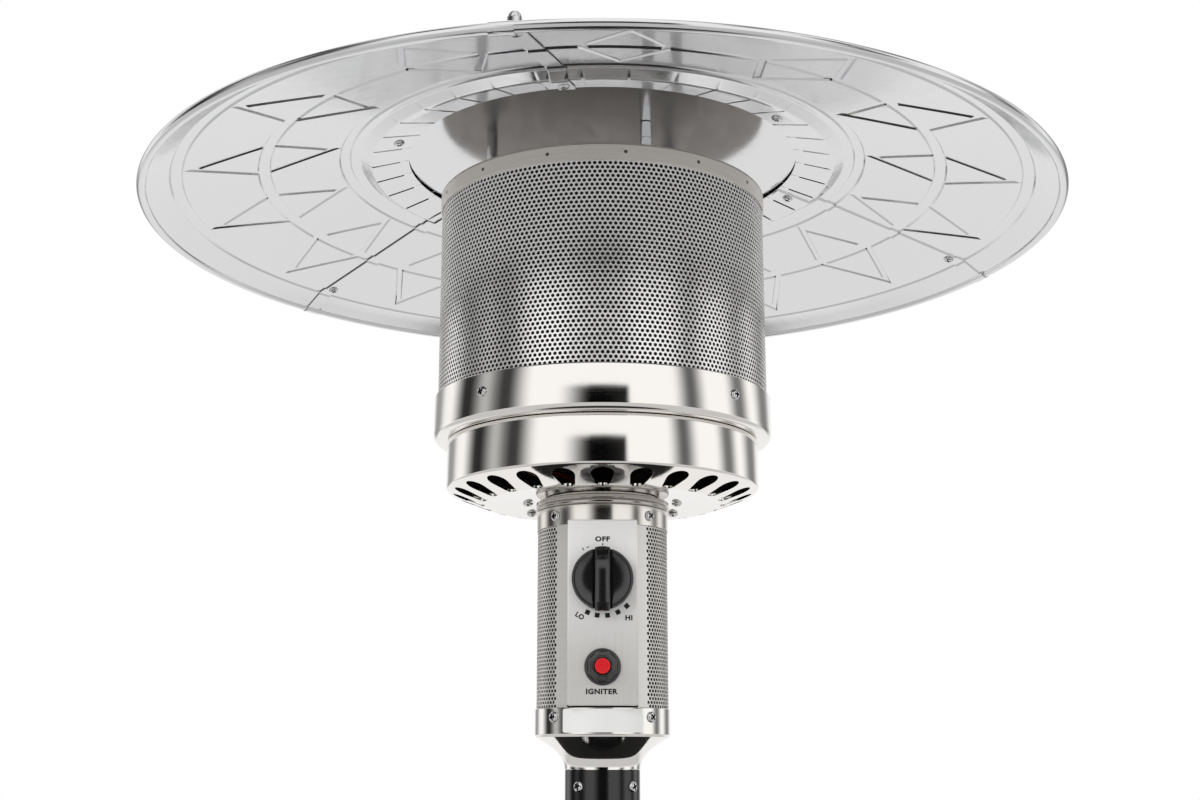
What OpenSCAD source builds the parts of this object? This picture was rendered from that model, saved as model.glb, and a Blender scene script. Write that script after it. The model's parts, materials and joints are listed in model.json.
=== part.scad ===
// Gas patio heater: hood reflector, emitter head, control housing, post, tank housing and base.
// Millimetres, +Z up, origin on the floor under the post's axis. The control panel faces -Y.

/* [Fits] */
// Gap between pieces that rest on each other
seat = 0.3; // [0.2:0.05:0.5]
// Radial running clearance of a shaft in its hole
run_fit = 0.05; // [0.02:0.01:0.08]

/* [Base] */
// Outer radius of the base plate
base_r = 228.5; // [220:0.5:250]
// Height of the base plate's skirt, from its feet to the raised step
base_skirt_h = 34; // [28:1:50]
// Height of the raised step that centres the tank housing
base_step_h = 6; // [4:0.5:10]
// Thickness of the base plate's sheet
base_t = 2; // [1.5:0.1:3]
// Width of the flange turned in under the skirt
base_flange_w = 30; // [26:1:40]
// Height of one rubber foot
foot_h = 6; // [4:0.5:10]
// Radius of one rubber foot
foot_r = 12; // [8:0.5:13]
// Number of rubber feet
foot_count = 4; // [4:1:8]

/* [Tank housing] */
// Outer radius of the tank housing shell
drum_r = 202; // [200:0.5:206]
// Height of the tank housing shell's top above the support brackets
drum_over = 54.3; // [44:0.1:90]
// Thickness of the tank housing sheet
drum_t = 1; // [0.8:0.1:1.5]
// Gap between the shell and the base plate's step
drum_step_gap = 2.5; // [1:0.1:4]
// Rise of the housing top's cone towards the post
drum_top_rise = 35; // [20:1:60]
// Depth of the housing top's rim over the shell
drum_rim_h = 18; // [10:1:30]
// Wall of the guide bush
bush_t = 4; // [3:0.1:6]
// Height of the guide bush
bush_h = 16; // [12:1:24]
// Radius of a vent hole near the shell's foot
drum_vent_r = 10; // [6:0.5:14]
// Height of the vent holes above the shell's foot
drum_vent_z = 40; // [25:1:60]
// Number of vent holes
drum_vent_count = 12; // [6:1:16]

/* [Support frame] */
// Height of the support brackets above the base plate
bracket_h = 660; // [640:1:690]
// Distance of the brackets' inner face from the axis
bracket_r = 178; // [168:0.5:184]
// Width of a bracket's bar
bracket_w = 30; // [24:1:36]
// Thickness of a bracket's bar
bracket_t = 4; // [3:0.5:5]
// Height of the sloping part of a bracket
bracket_slope_h = 52; // [40:1:80]
// Radius of the post's flange
flange_r = 60; // [54:0.5:66]
// Thickness of the post's flange
flange_t = 6; // [4:0.5:8]
// Radius of the hole for the hose in the flange
flange_hole_r = 20; // [14:0.5:26]
// Radius of a frame bolt's shank
bolt_r = 4; // [3:0.5:5]

/* [Wheels] */
// Radius of a wheel
wheel_r = 48; // [40:0.5:49]
// Width of a wheel
wheel_w = 26; // [18:1:30]
// Radius of the axle
axle_r = 5; // [4:0.5:7]
// Height of the axle above the floor
axle_z = 53; // [52:0.5:58]
// Distance of the axle behind the base plate's edge
axle_back = 39.5; // [39:0.5:46]
// Half the distance between the bracket's ears
ear_x = 70; // [60:1:80]
// Thickness of the bracket's sheet
ear_t = 3; // [2:0.5:4]

/* [Gas cylinder] */
// Radius of the gas cylinder
tank_r = 152; // [140:1:155]
// Height of the gas cylinder's body
tank_h = 350; // [300:5:370]
// Thickness of the cylinder's wall
tank_t = 3; // [2:0.5:4]
// Radius of the foot ring and of the collar
tank_ring_r = 105; // [95:1:115]
// Height of the foot ring
tank_foot_h = 26; // [20:1:34]
// Height of the collar above the body's shoulder
collar_h = 96; // [80:1:110]
// Radius of the cylinder valve's body
cyl_valve_r = 13; // [10:0.5:16]
// Height of the cylinder valve's body
cyl_valve_h = 46; // [36:1:56]
// Radius of the handwheel
handwheel_r = 26; // [20:0.5:32]
// Height of the handwheel
handwheel_h = 16; // [12:0.5:22]
// Radius of the regulator's disc
regulator_r = 29; // [24:0.5:32]
// Height of the regulator's body
regulator_h = 26; // [20:1:32]
// Radius of the gas hose
hose_r = 5.5; // [4:0.5:7]

/* [Post] */
// Outer radius of the post
post_r = 31.5; // [30:0.25:33]
// Wall of the post
post_t = 1.5; // [1.2:0.1:2.5]
// Length of the post
post_len = 936.9; // [800:0.1:1000]
// Depth of the post's screws below its top edge
post_screw_z = 20; // [14:0.5:26]

/* [Control housing] */
// Outer radius of the perforated shell
shell_r = 55.8; // [54:0.1:58]
// Wall of the perforated shell
shell_t = 0.8; // [0.6:0.1:1.2]
// Height of the perforated shell
shell_h = 186.2; // [184:0.1:190]
// Wall of the bottom cup
cup_t = 1.2; // [1:0.1:1.6]
// Height of the cup's straight wall
cup_wall_h = 22; // [18:0.5:26]
// Height of the cup's flare, from the post to the straight wall
cup_flare_h = 26; // [22:0.5:32]
// Length of the cup's spigot inside the post
spigot_h = 38; // [30:1:46]
// Wall of the top band
band_t = 0.6; // [0.5:0.1:1]
// Height of the top band
band_h = 16.5; // [14:0.5:20]
// Width of the control panel
panel_w = 57.7; // [52:0.1:60]
// Height of the control panel
panel_h = 151.5; // [146:0.5:152]
// Distance of the panel's front face from the housing's axis
panel_y = 62; // [61:0.1:66]
// Thickness of the panel's sheet
panel_t = 1.2; // [0.8:0.1:1.6]
// Gap between the cup's edge and the panel
panel_gap = 1.2; // [0.8:0.1:2]
// Height of the label plate
label_h = 19; // [15:0.5:20]
// Half the angle that the label plate spans
label_half_deg = 34.3; // [30:0.1:36]
// Angle between the middle of the panel and a housing screw
housing_screw_deg = 44; // [42:0.5:48]

/* [Controls] */
// Height of the knob's axis above the panel's lower edge
knob_z = 101.2; // [98:0.1:110]
// Radius of the knob
knob_r = 25.25; // [22:0.05:27]
// Thickness of the knob's skirt
knob_h = 10.5; // [9:0.5:13]
// Height of the grip bar above the skirt
grip_h = 9; // [6:0.5:12]
// Width of the grip bar
grip_w = 13; // [10:0.5:16]
// Travel of the knob when it is pushed
knob_travel = 3; // [2:0.1:3.2]
// Turn of the knob from off to high
knob_turn_deg = 222; // [180:1:270]
// Radius of the valve's stem
stem_r = 3; // [2.5:0.1:3.5]
// Depth of the flat on the stem
stem_flat = 0.8; // [0.5:0.1:1.2]
// Height of the igniter's axis above the panel's lower edge
igniter_z = 30.8; // [28:0.1:36]
// Radius of the igniter's bezel
bezel_r = 14.85; // [13:0.05:16]
// Height of the bezel in front of the panel
bezel_h = 11; // [9:0.5:13]
// Radius of the igniter's button
button_r = 6.25; // [5.5:0.05:6.5]
// Travel of the igniter's button
button_travel = 4.5; // [3:0.1:4.8]

/* [Valve] */
// Width of the gas valve's block
valve_w = 34; // [28:1:38]
// Height of the gas valve's block
valve_h = 40; // [34:1:46]
// Distance of the valve block's front face from the axis
valve_front = 32; // [28:1:36]
// Distance of the valve block's back face behind the axis
valve_back = 9; // [8:0.5:14]
// Radius of the valve's bonnet
bonnet_r = 11; // [10:0.5:13]
// Radius of the main gas pipe
pipe_r = 4; // [3:0.25:5]

/* [Head] */
// Radius of the neck collar
collar_r = 57.5; // [56:0.1:60]
// Height of the neck collar's rim
collar_rim_h = 8.7; // [7:0.1:11]
// Radius of the neck above the rim
neck_r = 50; // [46:0.5:53]
// Height of the neck above the rim
neck_h = 2.7; // [2:0.1:6]
// Radius of the hole through the neck and the pan
neck_hole_r = 30; // [27:0.5:34]
// Radius of the burner pan
pan_r = 135.7; // [132:0.1:138]
// Height of the burner pan
pan_h = 48.7; // [44:0.1:56]
// Thickness of the pan's sheet
pan_t = 1; // [0.8:0.1:1.4]
// Radius of the pan's lower corner
pan_corner = 3; // [2:0.5:6]
// Radius where the pan's slotted cone meets its floor
pan_cone_r = 104; // [98:0.5:110]
// Fall of the pan's floor from the neck out to the cone
pan_fall = 5; // [2:0.5:6]
// Height of the pan's slotted cone
pan_cone_h = 11.5; // [8:0.5:14]
// Number of vent slots in the pan
slot_count = 24; // [18:1:26]
// Radius of a vent slot's wide end
slot_wide_r = 9.3; // [7:0.1:10]
// Radius of a vent slot's narrow end
slot_narrow_r = 6; // [5:0.1:7]
// Inner end of a vent slot
slot_in = 102.5; // [100:0.5:106]
// Outer end of a vent slot
slot_out = 130; // [126:0.5:131]
// Radius of the head ring
ring_r = 147.7; // [147.4:0.1:150]
// Height of the head ring
ring_h = 37.9; // [34:0.1:44]
// Thickness of the head ring's sheet
ring_t = 1; // [0.8:0.1:1.4]
// Radius of the ring's lower corner
ring_corner = 6; // [4:0.5:8]
// Height of the ring's screws above its lower edge
ring_screw_z = 22; // [18:0.5:26]
// Inner radius of the ring's floor
ring_floor_r = 118; // [112:1:124]

/* [Burner] */
// Thickness of the burner plate
plate_t = 1.2; // [1:0.1:2]
// Radius of the burner's cup
burner_r = 55; // [48:1:60]
// Height of the burner above its plate
burner_h = 52; // [44:1:64]
// Radius of the burner's venturi
venturi_r = 14; // [12:0.5:18]
// Length of the venturi below the plate
venturi_len = 38; // [30:1:40]
// Wall of the burner
burner_t = 1.5; // [1:0.1:2]
// Number of flame ports round the cup
port_count = 24; // [16:1:36]
// Distance of the pilot group from the axis
pilot_r = 75; // [66:0.5:90]
// Distance between the pilot, the thermocouple and the electrode
pilot_pitch = 16; // [14:0.5:20]

/* [Emitter] */
// Outer radius of the emitter screen
screen_r = 144.5; // [142:0.1:144.8]
// Thickness of the screen's sheet
screen_t = 0.8; // [0.6:0.1:1]
// Height of the screen that shows between the ring and the top band
screen_h = 171.1; // [150:0.1:200]
// Height of the top band
top_band_h = 13.5; // [10:0.1:20]
// Thickness of the top band
top_band_t = 0.9; // [0.7:0.1:1.1]
// Thickness of the lid
lid_t = 1; // [0.8:0.1:1.5]

/* [Reflector] */
// Outer radius of the reflector
reflector_r = 406.4; // [380:0.1:430]
// Thickness of the reflector's sheet
hood_t = 0.8; // [0.6:0.1:1.2]
// Height of the reflector's disc above the lid
hood_gap = 38.3; // [30:0.1:60]
// Radius of the opening that the panels leave under the disc
hood_in_r = 176; // [165:0.5:182]
// Radius of the centre disc
disc_r = 205; // [200:0.5:207]
// Radius of the step's inner edge
step_in_r = 209; // [208:0.5:212]
// Radius of the step's outer edge
step_out_r = 219; // [216:0.5:224]
// Fall of the inner flange from the opening to the step
flange_fall = 8.3; // [6:0.1:11]
// Rise of the step
step_rise = 5.4; // [4:0.1:7]
// Slope of the cone in degrees
cone_deg = 15.5; // [12:0.02:20]
// Width of the steeper rim band with its bead
rim_w = 25.4; // [18:0.1:32]
// Fall of the rim band, from the cone to the middle of the bead
rim_fall = 11.6; // [8:0.1:16]
// Radius of the rolled bead at the rim
bead_r = 4; // [3:0.1:5]
// Width of the lap at each seam
lap_w = 15; // [12:0.5:20]
// Angle of the near seam, left of the front
seam_deg = 9.4; // [0:0.1:30]
// Distance of the inner seam screws from the axis
seam_in_r = 190; // [186:0.5:198]
// Distance of the outer seam screws from the axis
seam_out_r = 367; // [350:0.5:385]
// Distance of the studs from the axis
stud_place_r = 103; // [90:0.5:120]
// Angle of the first stud, right of the front
stud_deg = 21; // [0:1:60]
// Radius of the spacers on the studs
spacer_r = 5; // [4.5:0.1:7]
// Radius of the studs and of the reflector screws
stud_r = 3; // [2.5:0.1:3.5]

/* [Hidden] */

$fn = 96;
eps = 0.01;
through = 4;
free_gap = 0.3;

z_base_rim = foot_h;
z_base_top = foot_h + base_skirt_h;
z_base_ledge = z_base_top - base_step_h;
step_r = drum_r - drum_t - drum_step_gap;

z_bracket_top = z_base_top + bracket_h;
z_flange_top = z_bracket_top + flange_t + seat;
z_drum = z_base_ledge + seat;
z_drum_top = z_bracket_top + drum_over;
drum_h = z_drum_top - z_drum;
bracket_foot = step_r - bracket_r - bracket_t - 2.5;
foot_bolt_r = bracket_r + bracket_t + bracket_foot / 2;
flange_bolt_r = (post_r + flange_r) / 2;

z_tank = z_base_top + seat;
z_tank_body = z_tank + tank_foot_h * 0.4;
z_tank_top = z_tank_body + tank_h;
tank_crown = 60;
z_outlet = z_tank_top + cyl_valve_h * 0.55;
z_handwheel = z_tank_top + cyl_valve_h + free_gap;
outlet_r = 9;
outlet_len = 46;
regulator_y = outlet_len + 22 + regulator_r;

z_post = z_flange_top + seat;
z_post_top = z_post + post_len;
z_cup_neck = z_post_top + seat;
cup_neck_r = post_r + 0.3;
cup_r = shell_r + free_gap + cup_t;
spigot_r = post_r - post_t - free_gap;
z_cup_wall = z_cup_neck + cup_flare_h + 1.2;
z_cup_top = z_cup_wall + cup_wall_h;

z_shell = z_cup_wall + cup_t + seat;
z_shell_top = z_shell + shell_h;
shell_in = shell_r - shell_t;
z_band_top = z_shell_top + 1.3;
band_out = shell_r + free_gap + band_t;

z_panel = z_cup_top + panel_gap;
z_knob = z_panel + knob_z;
z_igniter = z_panel + igniter_z;
panel_in = panel_y - panel_t;

knob_back = panel_y + knob_travel + 0.6;
knob_face = knob_back + knob_h;
grip_face = knob_face + grip_h;
pocket_r = 8;
pocket_floor = 42;
washer_t = 1;
washer_back = 55;
stem_in = valve_front - 7;
stem_out = knob_face - 1.5;
stem_bore_end = stem_in - knob_travel - 1;

bezel_face = panel_y + bezel_h;
barrel_r = 7.7;
barrel_back = panel_in - 7.8;
button_floor = barrel_back + 3;
button_back = panel_y + 4;
button_face = bezel_face + 3.5;
plunger_r = 3;
piezo_r = 9.5;
piezo_front = barrel_back - seat;
piezo_back = 18;
plunger_tip = piezo_front - 6;

z_collar = z_band_top + seat;
z_collar_top = z_collar + collar_rim_h;
z_neck_top = z_collar_top + neck_h;
z_pan = z_neck_top + seat;
z_ring = z_pan + pan_h + seat;
z_ring_top = z_ring + ring_h;
z_plate = z_ring + ring_t + seat;
z_plate_top = z_plate + plate_t;
z_screen = z_ring + ring_corner + ring_t + seat;
z_band = z_ring_top + screen_h;
z_lid = z_band + top_band_h + seat;
z_lid_top = z_lid + lid_t;
screen_in = screen_r - screen_t;
burner_foot = z_plate_top + seat;

z_disc = z_lid_top + hood_gap;
tongue_up = hood_t + seat;
z_hood = z_disc - seat - hood_t - tongue_up;
band_in_r = reflector_r - rim_w;
bead_mid_r = reflector_r - bead_r;
z_step_in = z_hood - flange_fall;
z_step_out = z_step_in + step_rise;
z_rim = z_step_out - (band_in_r - step_out_r) * tan(cone_deg);
z_bead = z_rim - rim_fall;
flange_deg = atan(flange_fall / (step_in_r - hood_in_r));
seam_start = -90 - seam_deg;

// A point of the panel's underside at radius r
function hood_z(r) = r < step_in_r
    ? z_hood - flange_fall * (r - hood_in_r) / (step_in_r - hood_in_r)
    : z_step_out - (r - step_out_r) * tan(cone_deg);

// Unit vector, and points between route points on a smooth curve
function unit(v) = v / norm(v);
function curve_point(a, b, c, d, t) =
    0.5 * (2 * b + (c - a) * t + (2 * a - 5 * b + 4 * c - d) * t * t
    + (3 * b - a - 3 * c + d) * t * t * t);
function smooth_route(p, n) = concat(
    [for (i = [0:len(p) - 2], k = [0:n - 1])
        curve_point(p[max(i - 1, 0)], p[i], p[i + 1], p[min(i + 2, len(p) - 1)], k / n)],
    [p[len(p) - 1]]);

// Round tube along a route; side is a direction that the route never takes
module route_tube(route, r, sides, side) {
    n = len(route);
    rings = [for (i = [0:n - 1])
        let (t = unit(route[min(i + 1, n - 1)] - route[max(i - 1, 0)]),
             u = unit(cross(t, side)), v = cross(t, u))
        for (k = [0:sides - 1])
            route[i] + r * cos(k * 360 / sides) * u + r * sin(k * 360 / sides) * v];
    walls = [for (i = [0:n - 2], k = [0:sides - 1])
        let (a = i * sides + k, b = i * sides + (k + 1) % sides)
        for (f = [[a, a + sides, b], [b, a + sides, b + sides]]) f];
    caps = [for (k = [1:sides - 2])
        for (f = [[0, k, k + 1],
                  [(n - 1) * sides, (n - 1) * sides + k + 1, (n - 1) * sides + k]]) f];
    polyhedron(points = rings, faces = concat(walls, caps));
}

// Coil spring along +Z, from 0 to h, on the middle radius r
module coil_spring(r, wire_r, h, turns) {
    steps = turns * 10;
    route_tube([for (i = [0:steps])
        [r * cos(i * 36), r * sin(i * 36), wire_r + (h - 2 * wire_r) * i / steps]],
        wire_r, 6, [0, 0, 1]);
}

// Tube between two radii
module sleeve(r_out, r_in, h) {
    rotate_extrude() translate([r_in, 0]) square([r_out - r_in, h]);
}

// Turns +Z to -Y, so that a shape built upwards points out of the front
module to_front() {
    rotate([90, 0, 0]) children();
}

// Cross-head screw: dome head above z = 0, shank below
module cross_screw(head_r, head_h, shank_r, shank_len) {
    difference() {
        rotate_extrude($fn = 32)
            polygon([[0, -shank_len], [shank_r, -shank_len], [shank_r, 0], [head_r, 0],
                [head_r, head_h * 0.3], [head_r * 0.82, head_h * 0.75], [head_r * 0.45, head_h],
                [0, head_h]]);
        for (a = [0, 90]) rotate([0, 0, a])
            translate([-head_r * 0.5, -head_r * 0.09, head_h * 0.45])
                cube([head_r, head_r * 0.18, head_h]);
    }
}

// Places a child on a wall of radius r, at an angle left of the front
module on_wall(deg, r, z) {
    rotate([0, 0, -deg]) translate([0, -r, z]) to_front() children();
}

// Places a child square to the reflector's sheet, at an angle about the axis
module on_hood(deg, r, up) {
    slope = r < step_in_r ? flange_deg : cone_deg;
    rotate([0, 0, deg]) translate([r, 0, hood_z(r)]) rotate([0, slope, 0])
        translate([0, 0, up]) children();
}

// Runs its child at the inner seam and panel screws, then at the outer seam screws
module at_inner_screws(up) {
    for (i = [0:5]) on_hood(seam_start + i * 60, seam_in_r, up) children();
}
module at_outer_screws(up) {
    for (i = [0:2]) on_hood(seam_start + i * 120, seam_out_r, up) children();
}

module at_studs(z) {
    for (i = [0:2]) rotate([0, 0, stud_deg - 90 + i * 120]) translate([stud_place_r, 0, z])
        children();
}

// Sheet outline of a reflector panel, raised by up
module hood_outline(up) {
    lift = hood_t / cos(cone_deg);
    low = [[hood_in_r, z_hood], [step_in_r, z_step_in], [step_out_r, z_step_out],
        [band_in_r, z_rim], [bead_mid_r - bead_r * 0.8, z_bead]];
    polygon(concat([for (p = low) p + [0, up]],
        [for (i = [len(low) - 1:-1:0]) low[i] + [0, up + lift]]));
}

// Plan of a 120 degree sector whose edges lie beside the seam lines
module sector_plan(before, after) {
    far = reflector_r * 1.8;
    along = [cos(120), sin(120)];
    beside = [sin(120), -cos(120)];
    polygon([[0, -before], [far, -before], [far, far], along * far - beside * after,
        -beside * after]);
}

// One reflector panel: its raised edge lies on the first seam, its plain edge on the next
module reflector_panel(turn) {
    half = lap_w / 2;
    tall = 200;
    web = 1.5;
    color("gainsboro") difference() {
        rotate([0, 0, turn + 120]) mirror([0, 1, 0]) union() {
            intersection() {
                rotate_extrude() {
                    hood_outline(0);
                    translate([bead_mid_r, z_bead]) circle(bead_r, $fn = 32);
                }
                translate([0, 0, z_bead - tall / 2]) linear_extrude(tall)
                    sector_plan(half, -half - free_gap);
            }
            intersection() {
                rotate_extrude() hood_outline(tongue_up);
                translate([0, 0, z_bead - tall / 2]) linear_extrude(tall) difference() {
                    sector_plan(half, half);
                    sector_plan(half + 1, -half - free_gap - web);
                }
            }
            intersection() {
                rotate_extrude() hood_outline(tongue_up / 2);
                translate([0, 0, z_bead - tall / 2]) linear_extrude(tall) difference() {
                    sector_plan(half, -half - free_gap);
                    sector_plan(half + 1, -half - free_gap - web);
                }
            }
        }
        at_inner_screws(-through) cylinder(r = stud_r + free_gap, h = 2 * through, $fn = 32);
        at_outer_screws(-through) cylinder(r = stud_r + free_gap, h = 2 * through, $fn = 32);
    }
}

module reflector_panel_right() { reflector_panel(seam_start); }
module reflector_panel_back() { reflector_panel(seam_start + 120); }
module reflector_panel_left() { reflector_panel(seam_start + 240); }

module reflector_disc() {
    fall = flange_fall * (disc_r - hood_in_r) / (step_in_r - hood_in_r);
    color("whitesmoke") difference() {
        rotate_extrude() polygon([[0, z_disc], [hood_in_r, z_disc], [disc_r, z_disc - fall],
            [disc_r, z_disc - fall + hood_t], [hood_in_r, z_disc + hood_t],
            [0, z_disc + hood_t]]);
        at_inner_screws(-through) cylinder(r = stud_r + free_gap, h = 3 * through, $fn = 32);
        at_studs(z_disc - through) cylinder(r = stud_r + free_gap, h = 2 * through, $fn = 32);
    }
}

// Layers between a screw's head and its cap nut, and the depth of the nut's bore
inner_grip = hood_t + tongue_up + hood_t + 3 * seat;
outer_grip = 2 * hood_t + 3 * seat;
cap_depth = 3 * stud_r;

module hood_screw(grip) {
    cross_screw(stud_r * 5 / 3, stud_r, stud_r, grip + seat + cap_depth - 1);
}

// Screw heads under the panels, shanks up through both layers
module reflector_screws() {
    color("silver") {
        at_inner_screws(-seat) rotate([180, 0, 0]) hood_screw(inner_grip);
        at_outer_screws(-seat) rotate([180, 0, 0]) hood_screw(outer_grip);
    }
}

// Washer flange, hexagon and dome over a blind bore
module cap_nut() {
    flange_h = stud_r * 0.4;
    hex_h = stud_r * 2;
    difference() {
        union() {
            cylinder(r = stud_r * 2.2, h = flange_h, $fn = 32);
            translate([0, 0, flange_h - eps]) cylinder(r = stud_r * 1.923, h = hex_h, $fn = 6);
            translate([0, 0, hex_h + stud_r / 3]) sphere(r = stud_r * 1.6, $fn = 32);
        }
        translate([0, 0, -eps]) cylinder(r = stud_r + free_gap, h = cap_depth, $fn = 32);
    }
}

module reflector_nuts() {
    color("silver") {
        at_inner_screws(inner_grip) cap_nut();
        at_outer_screws(outer_grip) cap_nut();
    }
}

module reflector_spacers() {
    color("lightgray") at_studs(z_lid_top + seat)
        sleeve(spacer_r, stud_r + free_gap, hood_gap - 2 * seat);
}

// Hexagon heads under the lid, threads up through the disc and the wing nuts
module reflector_studs() {
    head_r = stud_r * 13 / 6;
    head_h = stud_r * 4 / 3;
    top = z_disc + hood_t + stud_r * 22 / 3;
    color("gray") at_studs(z_lid - seat) {
        translate([0, 0, -head_h]) cylinder(r = head_r, h = head_h, $fn = 6);
        translate([0, 0, -eps]) cylinder(r = stud_r, h = top - z_lid, $fn = 32);
    }
}

// Washer flange, hub and two wings, all in proportion to the stud
module wing_nuts() {
    flange_h = stud_r * 0.4;
    hub_r = stud_r * 13 / 6;
    hub_h = stud_r * 8 / 3;
    half_t = stud_r / 2;
    wing = [[4, 1.2], [10, 3], [17, 16], [17, 22], [13, 25], [10, 21], [4, 7]] * stud_r / 3;
    color("silver") at_studs(z_disc + hood_t + seat) difference() {
        union() {
            cylinder(r = 3 * stud_r, h = flange_h, $fn = 48);
            cylinder(r = hub_r, h = hub_h, $fn = 32);
            rotate([90, 0, 0]) translate([0, 0, -half_t]) linear_extrude(2 * half_t)
                for (s = [-1, 1]) polygon([for (p = wing) [s * p[0], p[1]]]);
        }
        translate([0, 0, -eps]) cylinder(r = stud_r + free_gap, h = 9 * stud_r, $fn = 32);
    }
}

module emitter_lid() {
    skirt_r = screen_in - free_gap;
    color("lightgray") difference() {
        union() {
            translate([0, 0, z_lid]) cylinder(r = screen_r + free_gap + top_band_t, h = lid_t);
            translate([0, 0, z_band]) sleeve(skirt_r, skirt_r - lid_t, z_lid - z_band + eps);
        }
        at_studs(z_lid - through) cylinder(r = stud_r + free_gap, h = 2 * through, $fn = 32);
    }
}

module emitter_top_band() {
    color("silver") translate([0, 0, z_band])
        sleeve(screen_r + free_gap + top_band_t, screen_r + free_gap, top_band_h);
}

module emitter_screen() {
    color("darkgray") difference() {
        translate([0, 0, z_screen])
            sleeve(screen_r, screen_in, z_lid - seat - z_screen);
        at_ring_screws(0) translate([0, 0, -8]) cylinder(r = 2.3, h = 16, $fn = 24);
    }
}

module at_ring_screws(out) {
    for (i = [0:3]) on_wall(45 + 90 * i, ring_r + out, z_ring + ring_screw_z) children();
}

// Head ring: wall with a rounded lower corner, a floor turned in and a lip at the top
module head_ring() {
    c = ring_corner;
    arc = [for (a = [0:15:90]) [cos(a), -sin(a)]];
    mid = [ring_r - c, z_ring + c];
    lip = screen_r + free_gap;
    color("silver") difference() {
        rotate_extrude() polygon(concat(
            [[lip, z_ring_top], [ring_r, z_ring_top]],
            [for (p = arc) mid + c * p],
            [[ring_floor_r, z_ring], [ring_floor_r, z_ring + ring_t]],
            [for (i = [len(arc) - 1:-1:0]) mid + (c - ring_t) * arc[i]],
            [[ring_r - ring_t, z_ring_top - 1.5], [lip, z_ring_top - 1.5]]));
        at_ring_screws(0) translate([0, 0, -8]) cylinder(r = 2.3, h = 16, $fn = 24);
    }
}

// Teardrop vent slot, wide end outwards, cut through the pan's floor and corner
module slot_plan() {
    wide_x = slot_out - slot_wide_r;
    narrow_x = slot_in + slot_narrow_r;
    translate([wide_x, 0]) circle(slot_wide_r, $fn = 32);
    translate([narrow_x, 0]) circle(slot_narrow_r, $fn = 24);
    polygon([[narrow_x, -slot_narrow_r * 0.98], [wide_x, -slot_wide_r * 0.98],
        [wide_x, slot_wide_r * 0.98], [narrow_x, slot_narrow_r * 0.98]]);
}

pan_screw_places = [[-65.2, 10], [65.2, 10], [-63.9, 56], [63.9, 56]];
pan_flat_r = neck_r + 8;
z_pan_low = z_pan - pan_fall;
z_pan_edge = z_pan_low + pan_cone_h;

// Height of the pan's underside at a distance from the axis, out to the cone
function pan_under(r) = z_pan - pan_fall * (r - pan_flat_r) / (pan_cone_r - pan_flat_r);

module burner_pan() {
    c = pan_corner;
    arc = [for (a = [0:15:60]) [cos(a), -sin(a)]];
    mid = [pan_r - c, z_pan_edge + c];
    up = [0, pan_t];
    low = [[pan_cone_r, z_pan_low], [pan_flat_r, z_pan], [neck_hole_r, z_pan]];
    top = z_pan + pan_h;
    in_r = ring_floor_r + 4;
    color("silver") difference() {
        rotate_extrude() polygon(concat(
            [[in_r, top], [pan_r, top]],
            [for (p = arc) mid + c * p],
            low, [for (i = [2:-1:0]) low[i] + up],
            [for (i = [len(arc) - 1:-1:0]) mid + (c - pan_t) * arc[i]],
            [[pan_r - pan_t, top - pan_t], [in_r, top - pan_t]]));
        for (i = [0:slot_count - 1]) rotate([0, 0, -90 + i * 360 / slot_count])
            translate([0, 0, z_pan_low - 1]) linear_extrude(pan_cone_h + c) slot_plan();
        for (p = pan_screw_places) translate([p[0], p[1], z_pan - through])
            cylinder(r = 2.3, h = 2 * through, $fn = 24);
    }
}

// Screws of the head ring and under the pan
module head_screws() {
    color("gainsboro") {
        at_ring_screws(seat) cross_screw(4.5, 2.6, 2, 6);
        for (p = pan_screw_places)
            translate([p[0], p[1], pan_under(norm(p)) - 2 * seat]) rotate([180, 0, 0])
            cross_screw(4, 2.4, 2, 6);
    }
}

module burner_plate() {
    r = ring_r - ring_corner - 1;
    color("dimgray") difference() {
        translate([0, 0, z_plate]) sleeve(r, venturi_r + 2, plate_t);
        for (i = [-1:1]) translate([-pilot_r, i * pilot_pitch, z_plate - 1])
            cylinder(r = 4.3, h = plate_t + 2, $fn = 32);
    }
}

// Venturi, cup and domed cap of the burner, one spun shell with flame ports
module burner() {
    t = burner_t;
    z0 = burner_foot;
    mouth = z0 - venturi_len;
    wall_top = z0 + burner_h * 0.7;
    z1 = z0 + burner_h;
    color("slategray") difference() {
        rotate_extrude() polygon([
            [venturi_r + 6, mouth], [venturi_r + 6 + t, mouth], [venturi_r + t, mouth + 12],
            [venturi_r + t, z0], [burner_r - 4, z0], [burner_r, z0 + 4], [burner_r, wall_top],
            [burner_r * 0.6, z1 - 3], [0, z1], [0, z1 - t], [burner_r * 0.6 - 1, z1 - 3 - t],
            [burner_r - t, wall_top - 1], [burner_r - t, z0 + 4 + t], [burner_r - 5, z0 + t],
            [venturi_r, z0 + t], [venturi_r, mouth + 12]]);
        for (i = [0:port_count - 1]) rotate([0, 0, i * 360 / port_count])
            translate([burner_r - 6, 0, z0 + burner_h * 0.5]) rotate([0, 90, 0])
                cylinder(r = 2, h = 12, $fn = 20);
    }
}

// Pipe from the valve to the jet below the venturi's mouth
module main_gas_pipe() {
    low = z_knob + valve_h / 2 + seat;
    top = burner_foot - venturi_len - 2;
    color("goldenrod") rotate_extrude($fn = 48) polygon([
        [1, low], [7, low], [7, low + 8], [pipe_r, low + 8], [pipe_r, top - 12], [7, top - 12],
        [7, top - 4], [4, top], [1, top]]);
}

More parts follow.
